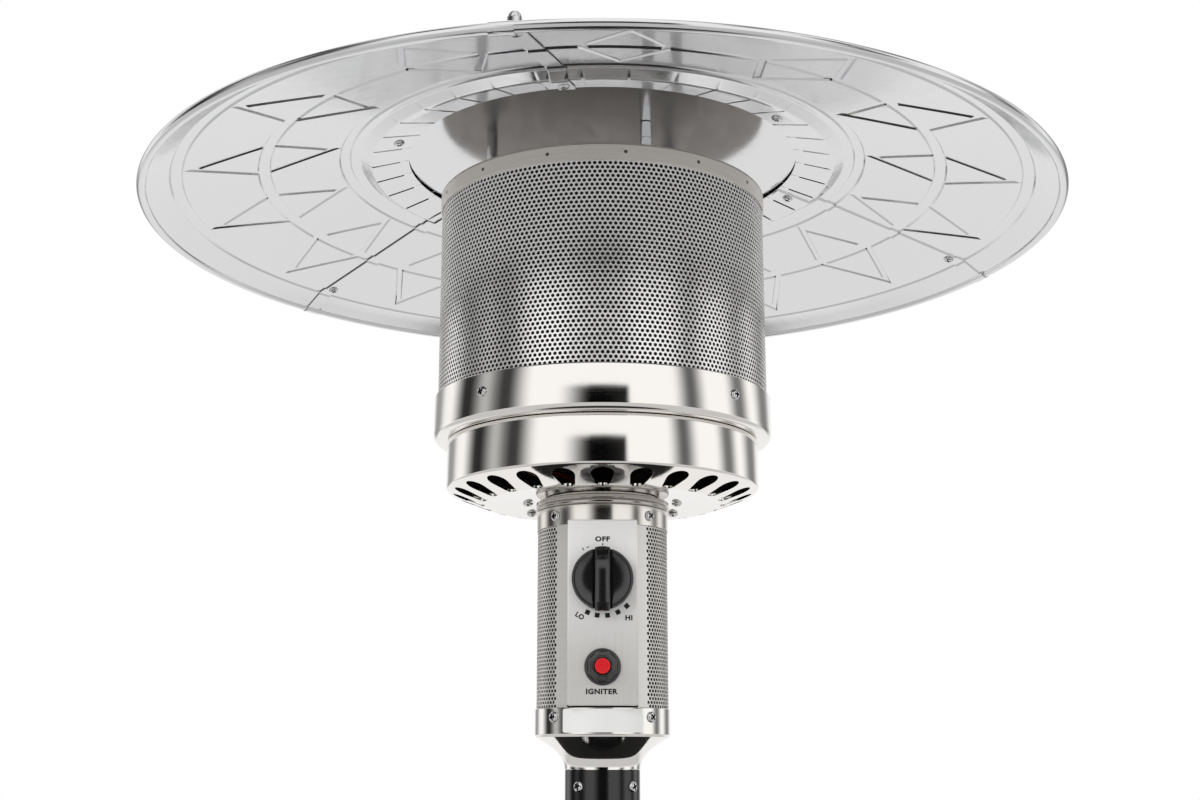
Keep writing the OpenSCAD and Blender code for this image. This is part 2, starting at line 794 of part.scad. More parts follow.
module pilot_burner() {
    z = z_plate - 6;
    route = [[-pilot_r, 0, z], [-pilot_r, 0, z - 8], [-58, 0, z - 20], [-30, -2, z - 36],
        [-18, -6, z - 60], [-14, -14, z - 90], [-12, -16, z_knob + valve_h / 2 + 12],
        [-12, -16, z_knob + valve_h / 2 + seat]];
    color("lightgray") {
        translate([-pilot_r, 0, z - 1]) cylinder(r = 4, h = 44, $fn = 32);
        translate([-pilot_r, 0, z_plate_top + seat]) cylinder(r = 6, h = 3, $fn = 6);
        route_tube(smooth_route(route, 4), 1.6, 8, [0, 1, 0]);
    }
}

module thermocouple() {
    z = z_plate - 6;
    y = pilot_pitch;
    route = [[-pilot_r, y, z], [-pilot_r, y, z - 8], [-58, y, z - 20], [-30, y - 2, z - 34],
        [-20, y - 2, z - 60], [-16, 8, z - 90], [-10, 3, z_knob + valve_h / 2 + 12],
        [-10, 3, z_knob + valve_h / 2 + seat]];
    color("peru") {
        translate([-pilot_r, y, z - 1]) cylinder(r = 2, h = 50, $fn = 24);
        translate([-pilot_r, y, z_plate_top + seat]) cylinder(r = 6, h = 3, $fn = 6);
        route_tube(smooth_route(route, 4), 1.2, 8, [0, 1, 0]);
    }
}

module igniter_electrode() {
    z = z_plate - 10;
    color("white") translate([-pilot_r, -pilot_pitch, z]) {
        cylinder(r = 3.5, h = 34, $fn = 32);
        cylinder(r = 1.2, h = 50, $fn = 20);
        translate([0, 0, z_plate_top + seat - z]) cylinder(r = 6, h = 2, $fn = 32);
    }
}

// High-tension lead from the piezo unit up to the electrode
module igniter_lead() {
    z = z_plate - 10 - seat;
    route = [[0, -piezo_back + seat, z_igniter], [-2, -14, z_igniter], [-12, -9, z_igniter + 6],
        [-24, 0, z_igniter + 30], [-30, 2, z_igniter + 70], [-30, -4, z_knob + 32],
        [-20, -14, z_band_top + 2], [-20, -16, z_pan + 10], [-50, -pilot_pitch, z_pan + 24],
        [-pilot_r + 4, -pilot_pitch, z - 12], [-pilot_r, -pilot_pitch, z - 4],
        [-pilot_r, -pilot_pitch, z]];
    color("firebrick") route_tube(smooth_route(route, 4), 1.8, 8, [0.9, 0.1, -0.2]);
}

// Neck collar: rim with a groove, a short neck on top and a spigot inside the shell
module neck_collar() {
    t = 1.5;
    spigot = shell_in - free_gap;
    mid = z_collar + collar_rim_h / 2;
    color("silver") difference() {
        rotate_extrude() polygon([
            [neck_hole_r, z_neck_top], [neck_r, z_neck_top], [neck_r, z_collar_top],
            [collar_r, z_collar_top], [collar_r, mid + 1], [collar_r - 1, mid],
            [collar_r, mid - 1], [collar_r, z_collar], [spigot, z_collar],
            [spigot, z_collar - 14], [spigot - t, z_collar - 14],
            [spigot - t, z_collar_top - t], [neck_r - t, z_collar_top - t],
            [neck_r - t, z_neck_top - t], [neck_hole_r, z_neck_top - t]]);
        at_housing_screws(0) translate([0, 0, -8]) cylinder(r = 2.3, h = 16, $fn = 24);
    }
}

module housing_shell() {
    window_w = panel_w - 12;
    window_h = panel_h - 20;
    color("silver") difference() {
        translate([0, 0, z_shell]) sleeve(shell_r, shell_in, shell_h);
        translate([-window_w / 2, -shell_r - 5, z_panel + 10])
            cube([window_w, shell_r, window_h]);
        at_housing_screws(0) translate([0, 0, -8]) cylinder(r = 2.3, h = 16, $fn = 24);
    }
}

module at_housing_screws(out) {
    for (i = [0:3]) {
        deg = (i < 2 ? 0 : 180) + (i % 2 == 0 ? 1 : -1) * housing_screw_deg;
        on_wall(deg, band_out + out, z_band_top - band_h / 2) children();
        on_wall(deg, cup_r + out, z_cup_top - 7.5) children();
    }
}

module housing_top_band() {
    color("silver") difference() {
        rotate_extrude() polygon([[band_out, z_band_top - band_h], [band_out, z_band_top],
            [shell_in, z_band_top], [shell_in, z_band_top - 1], [band_out - band_t, z_band_top - 1],
            [band_out - band_t, z_band_top - band_h]]);
        translate([-panel_w / 2 - free_gap, -panel_y, z_band_top - band_h - 1])
            cube([panel_w + 2 * free_gap, panel_y / 2, z_panel + panel_h + free_gap
                - z_band_top + band_h + 1]);
        at_housing_screws(0) translate([0, 0, -8]) cylinder(r = 2.3, h = 16, $fn = 24);
    }
}

// Cup that flares from the post out to the housing, with a spigot inside the post
module housing_cup() {
    n = 12;
    outer = [for (i = [0:n]) let (k = i / n)
        [cup_neck_r + (cup_r - 1 - cup_neck_r) * pow(k, 2.1), z_cup_neck + cup_flare_h * k]];
    inner = [for (i = [n:-1:0]) outer[i] + [-cup_t, cup_t]];
    color("silver") difference() {
        rotate_extrude() polygon(concat(
            [[spigot_r, z_cup_neck]], outer,
            [[cup_r, z_cup_wall], [cup_r, z_cup_top], [cup_r - cup_t, z_cup_top],
                [cup_r - cup_t, z_cup_wall + cup_t * 0.6]],
            inner,
            [[spigot_r - 1.5, z_cup_neck + cup_t], [spigot_r - 1.5, z_cup_neck - spigot_h],
                [spigot_r, z_cup_neck - spigot_h]]));
        at_housing_screws(0) translate([0, 0, -8]) cylinder(r = 2.3, h = 16, $fn = 24);
        at_post_screws(0) translate([0, 0, -8]) cylinder(r = 2.3, h = 16, $fn = 24);
    }
}

module housing_screws() {
    color("gainsboro") at_housing_screws(seat) cross_screw(4.5, 2.6, 2, 6);
}

// Flat panel with side walls that run back to the perforated shell
module control_panel() {
    color("silver") difference() {
        translate([-panel_w / 2, -panel_y, z_panel]) cube([panel_w, panel_y - 40, panel_h]);
        translate([-panel_w / 2 + panel_t, -panel_in, z_panel + panel_t])
            cube([panel_w - 2 * panel_t, panel_in - 30, panel_h - 2 * panel_t]);
        translate([0, 0, z_panel - 1]) cylinder(r = shell_r + free_gap, h = panel_h + 2);
        translate([0, -panel_y - 1, z_knob]) rotate([-90, 0, 0])
            cylinder(r = 2 * stem_r, h = panel_t + 2, $fn = 32);
        translate([0, -panel_y - 1, z_igniter]) rotate([-90, 0, 0])
            cylinder(r = barrel_r + free_gap, h = panel_t + 2, $fn = 48);
    }
}

module label_plate() {
    color("white") translate([0, 0, z_cup_wall + (cup_wall_h - label_h) / 2 + 0.5])
        rotate([0, 0, -90 - label_half_deg]) rotate_extrude(angle = 2 * label_half_deg)
            translate([cup_r + 0.15, 0]) square([0.3, label_h]);
}

// Valve block with its bonnet, whose pocket holds the stem's spring and washer
module gas_valve() {
    color("darkkhaki") difference() {
        union() {
            translate([-valve_w / 2, -valve_front, z_knob - valve_h / 2])
                cube([valve_w, valve_front + valve_back, valve_h]);
            translate([0, -valve_front + 1, z_knob]) to_front()
                cylinder(r = bonnet_r, h = panel_in - seat - valve_front + 1, $fn = 48);
            translate([0, 0, z_knob - valve_h / 2 - 14]) cylinder(r = 8, h = 15, $fn = 6);
        }
        translate([0, -pocket_floor, z_knob]) to_front()
            cylinder(r = pocket_r, h = panel_in, $fn = 48);
        translate([0, -stem_bore_end, z_knob]) to_front()
            cylinder(r = stem_r + run_fit, h = panel_in, $fn = 48);
    }
}

// Stem with a flat for the knob and a collar in front of the washer
module valve_stem() {
    color("gold") translate([0, 0, z_knob]) difference() {
        union() {
            translate([0, -stem_in, 0]) to_front()
                cylinder(r = stem_r, h = stem_out - stem_in, $fn = 48);
            translate([0, -washer_back - washer_t - seat, 0]) to_front()
                cylinder(r = stem_r * 1.5, h = 1.2, $fn = 48);
        }
        translate([-stem_r, -stem_out - 1, stem_r - stem_flat])
            cube([2 * stem_r, stem_out - knob_back + 1, stem_r]);
    }
}

module knob_washer() {
    color("gray") translate([0, -washer_back, z_knob]) to_front()
        sleeve(pocket_r - free_gap, stem_r + free_gap, washer_t);
}

module knob_spring() {
    room = washer_back - pocket_floor - 2 * seat;
    color("dimgray") translate([0, -pocket_floor - seat, z_knob]) to_front()
        coil_spring(5.2, 0.7, room, 4);
}

// Round knob with a grip bar and a bore for the stem
module control_knob() {
    color("#1c1c1c") translate([0, 0, z_knob]) difference() {
        union() {
            translate([0, -knob_back, 0]) to_front() rotate_extrude() polygon([
                [0, 0], [knob_r, 0], [knob_r, knob_h - 2], [knob_r - 2, knob_h], [0, knob_h]]);
            intersection() {
                translate([-grip_w / 2, -grip_face, -knob_r - 1])
                    cube([grip_w, grip_face - knob_back, 2 * knob_r + 2.5]);
                translate([0, -knob_back, 0]) to_front()
                    cylinder(r = knob_r + 1.5, h = grip_face, $fn = 96);
            }
        }
        difference() {
            translate([0, -stem_out - seat, 0]) rotate([-90, 0, 0])
                cylinder(r = stem_r + run_fit, h = knob_h, $fn = 48);
            translate([-knob_r, -stem_out - 1, stem_r - stem_flat + run_fit])
                cube([2 * knob_r, knob_h + 2, stem_r]);
        }
    }
}

// Eight-sided cone on a round foot, with a barrel behind; the button runs in its bore
module igniter_bezel() {
    foot = 2.5;
    root = foot / 2;
    edge = 0.4;
    color("#161616") translate([0, 0, z_igniter]) difference() {
        union() {
            translate([0, -panel_y - eps, 0]) to_front()
                cylinder(r = bezel_r, h = foot, $fn = 48);
            translate([0, -panel_y - root, 0]) to_front() rotate([0, 0, 22.5])
                cylinder(r1 = bezel_r - edge, r2 = button_r + 2.4, h = bezel_h - root, $fn = 8);
            translate([0, -barrel_back, 0]) to_front()
                cylinder(r = barrel_r, h = panel_y + root - barrel_back, $fn = 48);
        }
        translate([0, -button_floor, 0]) to_front()
            cylinder(r = button_r + run_fit, h = 2 * bezel_h + 20, $fn = 64);
        translate([0, -barrel_back + 1, 0]) to_front()
            cylinder(r = plunger_r + free_gap, h = 20, $fn = 32);
    }
}

module igniter_button() {
    color("red") translate([0, 0, z_igniter]) {
        translate([0, -button_back, 0]) to_front() rotate_extrude($fn = 64) polygon([
            [0, 0], [button_r, 0], [button_r, button_face - button_back - 1],
            [button_r - 1, button_face - button_back], [0, button_face - button_back]]);
        translate([0, -plunger_tip, 0]) to_front()
            cylinder(r = plunger_r, h = button_back - plunger_tip + 1, $fn = 32);
    }
}

module igniter_spring() {
    room = button_back - button_floor - 2 * seat;
    color("dimgray") translate([0, -button_floor - seat, z_igniter]) to_front()
        coil_spring(4.6, 0.5, room, 5);
}

module igniter_piezo() {
    color("black") translate([0, 0, z_igniter]) difference() {
        translate([0, -piezo_back, 0]) to_front()
            cylinder(r = piezo_r, h = piezo_front - piezo_back, $fn = 48);
        translate([0, -plunger_tip + button_travel + 1, 0]) to_front()
            cylinder(r = plunger_r + free_gap, h = 30, $fn = 32);
    }
}

module tilt_switch() {
    r = 11;
    h = 28;
    color("black") translate([0, shell_in - free_gap - r, z_shell + 26]) {
        cylinder(r = r, h = h, $fn = 48);
        translate([0, 0, h - eps]) cylinder(r = 4, h = 6, $fn = 32);
    }
}

module at_post_screws(out) {
    for (i = [0:3]) on_wall(38.5 + 90 * i, post_r + out, z_post_top - post_screw_z) children();
}

module post() {
    color("#151515") difference() {
        translate([0, 0, z_post]) sleeve(post_r, post_r - post_t, post_len);
        at_post_screws(0) translate([0, 0, -8]) cylinder(r = 2.3, h = 16, $fn = 24);
    }
}

module post_screws() {
    color("gainsboro") at_post_screws(seat) cross_screw(4.5, 2.6, 2, 6);
}

module post_flange() {
    spigot = post_r - post_t - free_gap;
    color("#151515") difference() {
        union() {
            translate([0, 0, z_bracket_top + seat]) sleeve(flange_r, flange_hole_r, flange_t);
            translate([0, 0, z_flange_top - eps]) sleeve(spigot, spigot - 3, 30);
        }
        for (i = [0:2]) rotate([0, 0, 90 + i * 120])
            translate([flange_bolt_r, 0, z_bracket_top - 1])
                cylinder(r = bolt_r + free_gap, h = flange_t + 3, $fn = 32);
    }
}

// Bent bar from the base plate up beside the cylinder and in under the post's flange
module support_bracket(deg) {
    t = bracket_t;
    top = bracket_h;
    tip = flange_hole_r + 10;
    bend = flange_r + 24;
    color("#222222") difference() {
        rotate([0, 0, deg]) translate([0, bracket_w / 2, z_base_top + eps]) rotate([90, 0, 0])
            linear_extrude(bracket_w) polygon([
                [bracket_r, 0], [bracket_r + t + bracket_foot, 0],
                [bracket_r + t + bracket_foot, t], [bracket_r + t, t],
                [bracket_r + t, top - bracket_slope_h + t], [bend, top], [tip, top],
                [tip, top - t], [bend - t, top - t], [bracket_r, top - bracket_slope_h]]);
        rotate([0, 0, deg]) translate([foot_bolt_r, 0, z_base_top - 1])
            cylinder(r = bolt_r + free_gap, h = t + 3, $fn = 32);
        rotate([0, 0, deg]) translate([flange_bolt_r, 0, z_bracket_top - t - 1])
            cylinder(r = bolt_r + free_gap, h = t + 3, $fn = 32);
    }
}

module support_bracket_back() { support_bracket(90); }
module support_bracket_left() { support_bracket(210); }
module support_bracket_right() { support_bracket(330); }

// Hexagon bolt pointing down from z = 0, with its nut at depth grip
module frame_bolt(grip) {
    cylinder(r = 6.5, h = 5, $fn = 6);
    translate([0, 0, -grip - 8]) cylinder(r = bolt_r, h = grip + 8 + eps, $fn = 32);
    translate([0, 0, -grip - 6]) cylinder(r = 6.5, h = 6, $fn = 6);
}

module frame_bolts() {
    color("gray") for (i = [0:2]) rotate([0, 0, 90 + i * 120]) {
        translate([foot_bolt_r, 0, z_base_top + bracket_t + seat])
            frame_bolt(bracket_t + base_t + 2 * seat);
        translate([flange_bolt_r, 0, z_flange_top + seat])
            frame_bolt(flange_t + bracket_t + 3 * seat);
    }
}

module tank_housing() {
    color("#1a1a1a") difference() {
        translate([0, 0, z_drum]) sleeve(drum_r, drum_r - drum_t, drum_h);
        for (i = [0:drum_vent_count - 1])
            on_wall((i + 0.5) * 360 / drum_vent_count, drum_r, z_drum + drum_vent_z)
                translate([0, 0, -12]) cylinder(r = drum_vent_r, h = 24, $fn = 48);
    }
}

// Rim over the shell, flat shoulder, then a cone up to the post
module tank_housing_top() {
    t = drum_t;
    rim = drum_r + free_gap + t;
    hole = post_r + bush_t + free_gap;
    z = z_drum_top + seat;
    peak = z + drum_top_rise;
    shoulder = drum_r - 14;
    color("#1a1a1a") rotate_extrude() polygon([
        [rim - t, z - drum_rim_h], [rim, z - drum_rim_h], [rim, z + t - 3], [rim - 3, z + t],
        [shoulder, z + t], [hole + 8, peak + t], [hole, peak + t], [hole, peak],
        [hole + 8, peak], [shoulder, z], [rim - t, z]]);
}

module housing_bush() {
    sleeve_r = post_r + bush_t;
    peak = z_drum_top + seat + drum_top_rise;
    low = peak - bush_h / 2;
    color("black") rotate_extrude() polygon([
        [post_r + 0.35, low], [sleeve_r, low], [sleeve_r, peak + drum_t + seat],
        [sleeve_r + 5, peak + drum_t + seat], [sleeve_r + 4, low + bush_h],
        [post_r + 0.35, low + bush_h]]);
}

module base_plate() {
    t = base_t;
    color("#1a1a1a") difference() {
        rotate_extrude() polygon([
            [0, z_base_top], [step_r, z_base_top], [step_r, z_base_ledge],
            [base_r - 3, z_base_ledge], [base_r, z_base_ledge - 3], [base_r, z_base_rim],
            [base_r - base_flange_w, z_base_rim], [base_r - base_flange_w, z_base_rim + t],
            [base_r - t, z_base_rim + t], [base_r - t, z_base_ledge - 3 - t / 2],
            [base_r - 3 - t / 2, z_base_ledge - t], [step_r - t, z_base_ledge - t],
            [step_r - t, z_base_top - t], [0, z_base_top - t]]);
        for (i = [0:2]) rotate([0, 0, 90 + i * 120]) translate([foot_bolt_r, 0, z_base_top - 5])
            cylinder(r = bolt_r + free_gap, h = 10, $fn = 32);
        at_bracket_screws() cylinder(r = 3 + free_gap, h = 20, $fn = 24, center = true);
    }
}

module base_feet() {
    color("black") for (i = [0:foot_count - 1])
        rotate([0, 0, 45 + i * 360 / foot_count])
            translate([base_r - base_flange_w / 2, 0, 0])
                cylinder(r1 = foot_r, r2 = foot_r * 0.9, h = foot_h, $fn = 48);
}

bracket_screw_deg = 10;

module at_bracket_screws() {
    for (s = [-1, 1]) rotate([0, 0, s * bracket_screw_deg])
        translate([0, base_r, (z_base_rim + z_base_ledge) / 2]) rotate([-90, 0, 0]) children();
}

// Saddle on the back of the skirt with two ears that carry the axle, and its two screws
module axle_bracket() {
    low = z_base_rim + 2;
    high = z_base_ledge - 4;
    half = asin(ear_x / (base_r + seat));
    axle_y = base_r + axle_back;
    r = base_r + seat;
    color("#222222") {
        difference() {
            union() {
                translate([0, 0, low]) rotate([0, 0, 90 - half]) rotate_extrude(angle = 2 * half)
                    translate([r, 0]) square([ear_t, high - low]);
                for (s = [-1, 1]) translate([s * ear_x - (s > 0 ? ear_t : 0), 0, 0])
                    rotate([90, 0, 90]) linear_extrude(ear_t) polygon([
                        [sqrt(r * r - ear_x * ear_x) + 1, low],
                        [sqrt(r * r - ear_x * ear_x) + 1, high],
                        [axle_y - 8, axle_z + 12], [axle_y + 12, axle_z + 12],
                        [axle_y + 12, axle_z - 12], [axle_y - 8, low]]);
            }
            translate([-ear_x - 10, axle_y, axle_z]) rotate([0, 90, 0])
                cylinder(r = axle_r + free_gap, h = 2 * ear_x + 20, $fn = 32);
            at_bracket_screws() cylinder(r = 3 + free_gap, h = 20, $fn = 24, center = true);
        }
        at_bracket_screws() {
            translate([0, 0, seat + ear_t + seat]) cylinder(r = 6, h = 4, $fn = 6);
            translate([0, 0, -10]) cylinder(r = 3, h = 11 + ear_t + seat, $fn = 24);
        }
    }
}

wheel_gap = 2;
wheel_in = ear_x + wheel_gap;
wheel_out = wheel_in + wheel_w;

// Axle with a washer head at each end
module wheel_axle() {
    half = wheel_out + wheel_gap;
    color("silver") translate([0, base_r + axle_back, axle_z]) rotate([0, 90, 0]) {
        translate([0, 0, -half - 4]) cylinder(r = axle_r, h = 2 * half + 8, $fn = 48);
        for (s = [0, 1]) mirror([0, 0, s]) translate([0, 0, half])
            cylinder(r = 2 * axle_r, h = 3, $fn = 48);
    }
}

// Wheel with a hub, a web and a rounded tyre
module wheel(side) {
    hub_r = 13;
    web = wheel_w * 0.3;
    tyre_in = wheel_r - 12;
    w = wheel_w / 2;
    color("#202020") translate([side * (wheel_in + w), base_r + axle_back, axle_z])
        rotate([0, 90, 0]) difference() {
            rotate_extrude() polygon([
                [axle_r + run_fit, -w], [hub_r, -w], [hub_r, -web / 2], [tyre_in, -web / 2],
                [tyre_in, -w + 1], [wheel_r - 4, -w + 1], [wheel_r, -w + 5],
                [wheel_r, w - 5], [wheel_r - 4, w - 1], [tyre_in, w - 1], [tyre_in, web / 2],
                [hub_r, web / 2], [hub_r, w], [axle_r + run_fit, w]]);
            for (i = [0:4]) rotate([0, 0, i * 72]) translate([(hub_r + tyre_in) / 2, 0, -w])
                cylinder(r = 5.5, h = 2 * w, $fn = 32);
        }
}

module wheel_left() { wheel(-1); }
module wheel_right() { wheel(1); }

// Hollow cylinder with domed ends, a foot ring and a collar that is open at the front
module gas_cylinder() {
    n = 8;
    low = z_tank_body;
    top = z_tank_top;
    r = tank_r;
    neck = 11;
    bottom = [for (i = [0:n]) let (a = i * 90 / n)
        [r * sin(a), low + tank_crown * (1 - cos(a))]];
    crown = [for (i = [0:n]) let (a = i * 90 / n)
        [max(r * cos(a), neck), top - tank_crown * (1 - sin(a))]];
    bottom_in = [for (i = [n:-1:0]) let (a = i * 90 / n)
        [(r - tank_t) * sin(a), low + tank_t + (tank_crown - tank_t) * (1 - cos(a))]];
    crown_in = [for (i = [n:-1:0]) let (a = i * 90 / n)
        [max((r - tank_t) * cos(a), neck),
            top - tank_t - (tank_crown - tank_t) * (1 - sin(a))]];
    foot_ring_h = low + tank_crown * (1 - cos(asin(tank_ring_r / r))) + 2 - z_tank;
    color("whitesmoke") difference() {
        union() {
            rotate_extrude() polygon(concat(bottom, crown, crown_in, bottom_in));
            translate([0, 0, z_tank]) sleeve(tank_ring_r, tank_ring_r - 3, foot_ring_h);
            translate([0, 0, top - tank_crown * 0.4])
                sleeve(tank_ring_r, tank_ring_r - 3, tank_crown * 0.4 + collar_h);
        }
        rotate([0, 0, -90]) translate([0, 0, top]) linear_extrude(2 * collar_h)
            polygon(tank_ring_r * [[0.67, -0.48], [2.86, -2], [2.86, 2], [0.67, 0.48]]);
        for (s = [-1, 1]) translate([s * tank_ring_r, 0, top + collar_h * 0.73])
            cube([30, tank_ring_r * 0.86, collar_h / 4], center = true);
    }
}

// Valve body on the cylinder with its outlet towards the front
module cylinder_valve() {
    color("goldenrod") difference() {
        union() {
            translate([0, 0, z_tank_top - 10]) cylinder(r = 10.5, h = 12, $fn = 48);
            translate([0, 0, z_tank_top + seat])
                cylinder(r = cyl_valve_r, h = cyl_valve_h - seat, $fn = 48);
            translate([0, 0, z_outlet]) to_front() cylinder(r = outlet_r, h = outlet_len, $fn = 48);
        }
        translate([0, 0, z_tank_top + cyl_valve_h - 14])
            cylinder(r = 4 + run_fit, h = 20, $fn = 48);
    }
}

// Fluted handwheel with the stem that turns in the valve body
module cylinder_handwheel() {
    color("royalblue") {
        difference() {
            translate([0, 0, z_handwheel]) cylinder(r = handwheel_r, h = handwheel_h);
            for (i = [0:7]) rotate([0, 0, i * 45]) translate([handwheel_r + 4, 0, z_handwheel - 1])
                cylinder(r = 8, h = handwheel_h + 2, $fn = 32);
        }
        translate([0, 0, z_handwheel - 12]) cylinder(r = 4, h = 12 + eps, $fn = 48);
    }
}

// Coupling nut, regulator body and hose tail
module regulator() {
    nut_r = 17;
    nut_y = 24;
    z = z_outlet;
    color("dimgray") difference() {
        union() {
            translate([0, -nut_y, z]) to_front() cylinder(r = nut_r, h = outlet_len - nut_y + 12,
                $fn = 48);
            translate([0, -outlet_len - 10, z]) to_front() cylinder(r = 9, h = 20, $fn = 48);
            translate([0, -regulator_y, z - regulator_h / 2]) rotate_extrude() polygon([
                [0, 0], [regulator_r - 5, 0], [regulator_r, 8], [regulator_r, regulator_h - 10],
                [regulator_r - 9, regulator_h], [0, regulator_h]]);
            translate([0, -regulator_y, z + regulator_h / 2 - 1])
                cylinder(r = hose_r + 2, h = 14, $fn = 32);
        }
        translate([0, -nut_y + 1, z]) to_front()
            cylinder(r = outlet_r + free_gap, h = outlet_len - nut_y + 1 + seat, $fn = 48);
    }
}

// Gas hose from the regulator through the flange and up the post to the valve
hose_low = z_outlet + regulator_h / 2 + 13 + seat;
hose_top = z_knob - valve_h / 2 - 14 - seat;

module gas_hose() {
    y = -regulator_y;
    rise = z_bracket_top - hose_low;
    bend = [for (p = [[1, 0], [1, 0.065], [1.04, 0.2], [0.835, 0.4], [0.38, 0.59],
        [0.08, 0.88], [0, 1.04], [0, 1.24]]) [0, y * p[0], hose_low + rise * p[1]]];
    color("#202020") route_tube(concat(smooth_route(bend, 5), [[0, 0, hose_top]]), hose_r, 12,
        [1, 0, 0]);
}

reflector_panel_left();
reflector_panel_right();
reflector_panel_back();
reflector_disc();
reflector_screws();
reflector_nuts();
reflector_spacers();
reflector_studs();
wing_nuts();
emitter_lid();
emitter_top_band();
emitter_screen();
head_ring();
burner_pan();
head_screws();
burner();
burner_plate();
main_gas_pipe();
pilot_burner();
thermocouple();
igniter_electrode();
igniter_lead();
neck_collar();
housing_shell();
housing_top_band();
housing_cup();
housing_screws();
control_panel();
label_plate();
gas_valve();
valve_stem();
control_knob();
knob_washer();
knob_spring();
igniter_bezel();
igniter_piezo();
igniter_button();
igniter_spring();
tilt_switch();
post();
post_screws();
post_flange();
support_bracket_left();
support_bracket_right();
support_bracket_back();
frame_bolts();
tank_housing();
tank_housing_top();
housing_bush();
base_plate();
base_feet();
axle_bracket();
wheel_axle();
wheel_left();
wheel_right();
gas_cylinder();
cylinder_valve();
cylinder_handwheel();
regulator();
gas_hose();
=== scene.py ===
"""Looks of a gas patio heater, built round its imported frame.

Sizes are millimetres, angles are degrees and run to the left of the front, seen from above.
A piece is drawn in millimetres and becomes metres when it is placed.
"""
import json
import logging
import math
from dataclasses import dataclass
from enum import Enum
from functools import cache
from typing import Callable, Iterable, Optional, Sequence

import bmesh
import bpy
from mathutils import Matrix, Vector


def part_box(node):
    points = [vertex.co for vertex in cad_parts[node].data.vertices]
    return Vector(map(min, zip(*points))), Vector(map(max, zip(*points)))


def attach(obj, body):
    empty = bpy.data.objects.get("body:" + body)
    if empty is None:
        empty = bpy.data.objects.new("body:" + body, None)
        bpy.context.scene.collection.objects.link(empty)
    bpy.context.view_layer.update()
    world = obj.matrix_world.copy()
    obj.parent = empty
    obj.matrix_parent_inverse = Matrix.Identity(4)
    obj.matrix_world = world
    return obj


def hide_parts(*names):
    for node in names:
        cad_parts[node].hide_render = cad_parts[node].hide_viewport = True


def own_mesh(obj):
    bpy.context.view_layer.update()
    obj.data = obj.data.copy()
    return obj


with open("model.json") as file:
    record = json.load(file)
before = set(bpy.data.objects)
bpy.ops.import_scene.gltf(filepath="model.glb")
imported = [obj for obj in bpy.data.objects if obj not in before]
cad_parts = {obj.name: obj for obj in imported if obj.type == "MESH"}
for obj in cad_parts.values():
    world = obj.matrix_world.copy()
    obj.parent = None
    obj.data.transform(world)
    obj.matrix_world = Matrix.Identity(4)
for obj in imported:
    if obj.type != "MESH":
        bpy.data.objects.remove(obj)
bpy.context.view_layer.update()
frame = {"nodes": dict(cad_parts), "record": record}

log = logging.getLogger("patio_heater")
MM = 0.001
FULL_TURN = 360.0

Mesh = bmesh.types.BMesh
Tree = bpy.types.NodeTree
Socket = bpy.types.NodeSocket
Thing = bpy.types.Object
Outline = list[tuple[float, float]]


# Colour and node helpers

def linear(code: str) -> tuple[float, float, float, float]:
    """Turns an sRGB hex colour into linear values.

    Args:
        code: Six hex digits after a hash sign.

    Returns:
        Red, green, blue and alpha as shader sockets take them.
    """
    parts = [int(code[i:i + 2], 16) / 255 for i in (1, 3, 5)]
    low = [c / 12.92 if c <= 0.04045 else ((c + 0.055) / 1.055) ** 2.4 for c in parts]
    return (*low, 1.0)


def add_node(tree: Tree, kind: str, settings: Optional[dict] = None,
             links: Optional[dict] = None) -> bpy.types.Node:
    """Adds a node with its settings and its links.

    Args:
        tree: The node tree that gets the node.
        kind: The node's type name.
        settings: Values by attribute name, or by the name or number of an input.
        links: Output sockets by the name or number of the input that they feed.

    Returns:
        The new node.
    """
    node = tree.nodes.new(kind)
    for key, value in (settings or {}).items():
        if isinstance(key, str) and hasattr(node, key):
            setattr(node, key, value)
        else:
            node.inputs[key].default_value = value
    for key, socket in (links or {}).items():
        tree.links.new(socket, node.inputs[key])
    return node


# Finishes

@dataclass(frozen=True)
class Surface:
    """A material under way: its tree, its shader and the coordinates that patterns read."""

    tree: Tree
    shader: bpy.types.Node
    place: Socket

    def feed(self, name: str, socket: Socket) -> None:
        """Links a socket to one of the shader's inputs."""
        self.tree.links.new(socket, self.shader.inputs[name])

    def noise(self, grains: tuple[float, ...], detail: float = 3.0) -> Socket:
        """Draws noise whose grain has its own size along each axis.

        Args:
            grains: The grain's size in millimetres, one for all or along X, Y and Z.
            detail: Octaves of finer noise.

        Returns:
            The noise's factor.
        """
        sizes = grains if len(grains) == 3 else grains * 3
        scaled = add_node(self.tree, "ShaderNodeMapping",
                          {"Scale": [1 / (g * MM) for g in sizes]}, {"Vector": self.place})
        noise = add_node(self.tree, "ShaderNodeTexNoise", {"Scale": 1.0, "Detail": detail},
                         {"Vector": scaled.outputs["Vector"]})
        return noise.outputs["Fac"]

    def spread(self, factor: Socket, low: float, high: float) -> Socket:
        """Maps the middle half of a noise to a range and returns the result."""
        return add_node(self.tree, "ShaderNodeMapRange",
                        {"From Min": 0.3, "From Max": 0.7, "To Min": low, "To Max": high},
                        {"Value": factor}).outputs["Result"]

    def emboss(self, factor: Socket, depth: float) -> None:
        """Raises a relief of a depth in millimetres on the shader's normal."""
        if depth:
            bump = add_node(self.tree, "ShaderNodeBump", {"Distance": depth * MM},
                            {"Height": factor})
            self.feed("Normal", bump.outputs["Normal"])

    def mix(self, low: str, high: str, links: dict, blend: str = "MIX") -> None:
        """Mixes two colours, or a linked one and a colour, into the base colour."""
        mixed = add_node(self.tree, "ShaderNodeMix", {"data_type": "RGBA", "blend_type": blend,
                                                      6: linear(low), 7: linear(high)}, links)
        self.feed("Base Color", mixed.outputs[2])


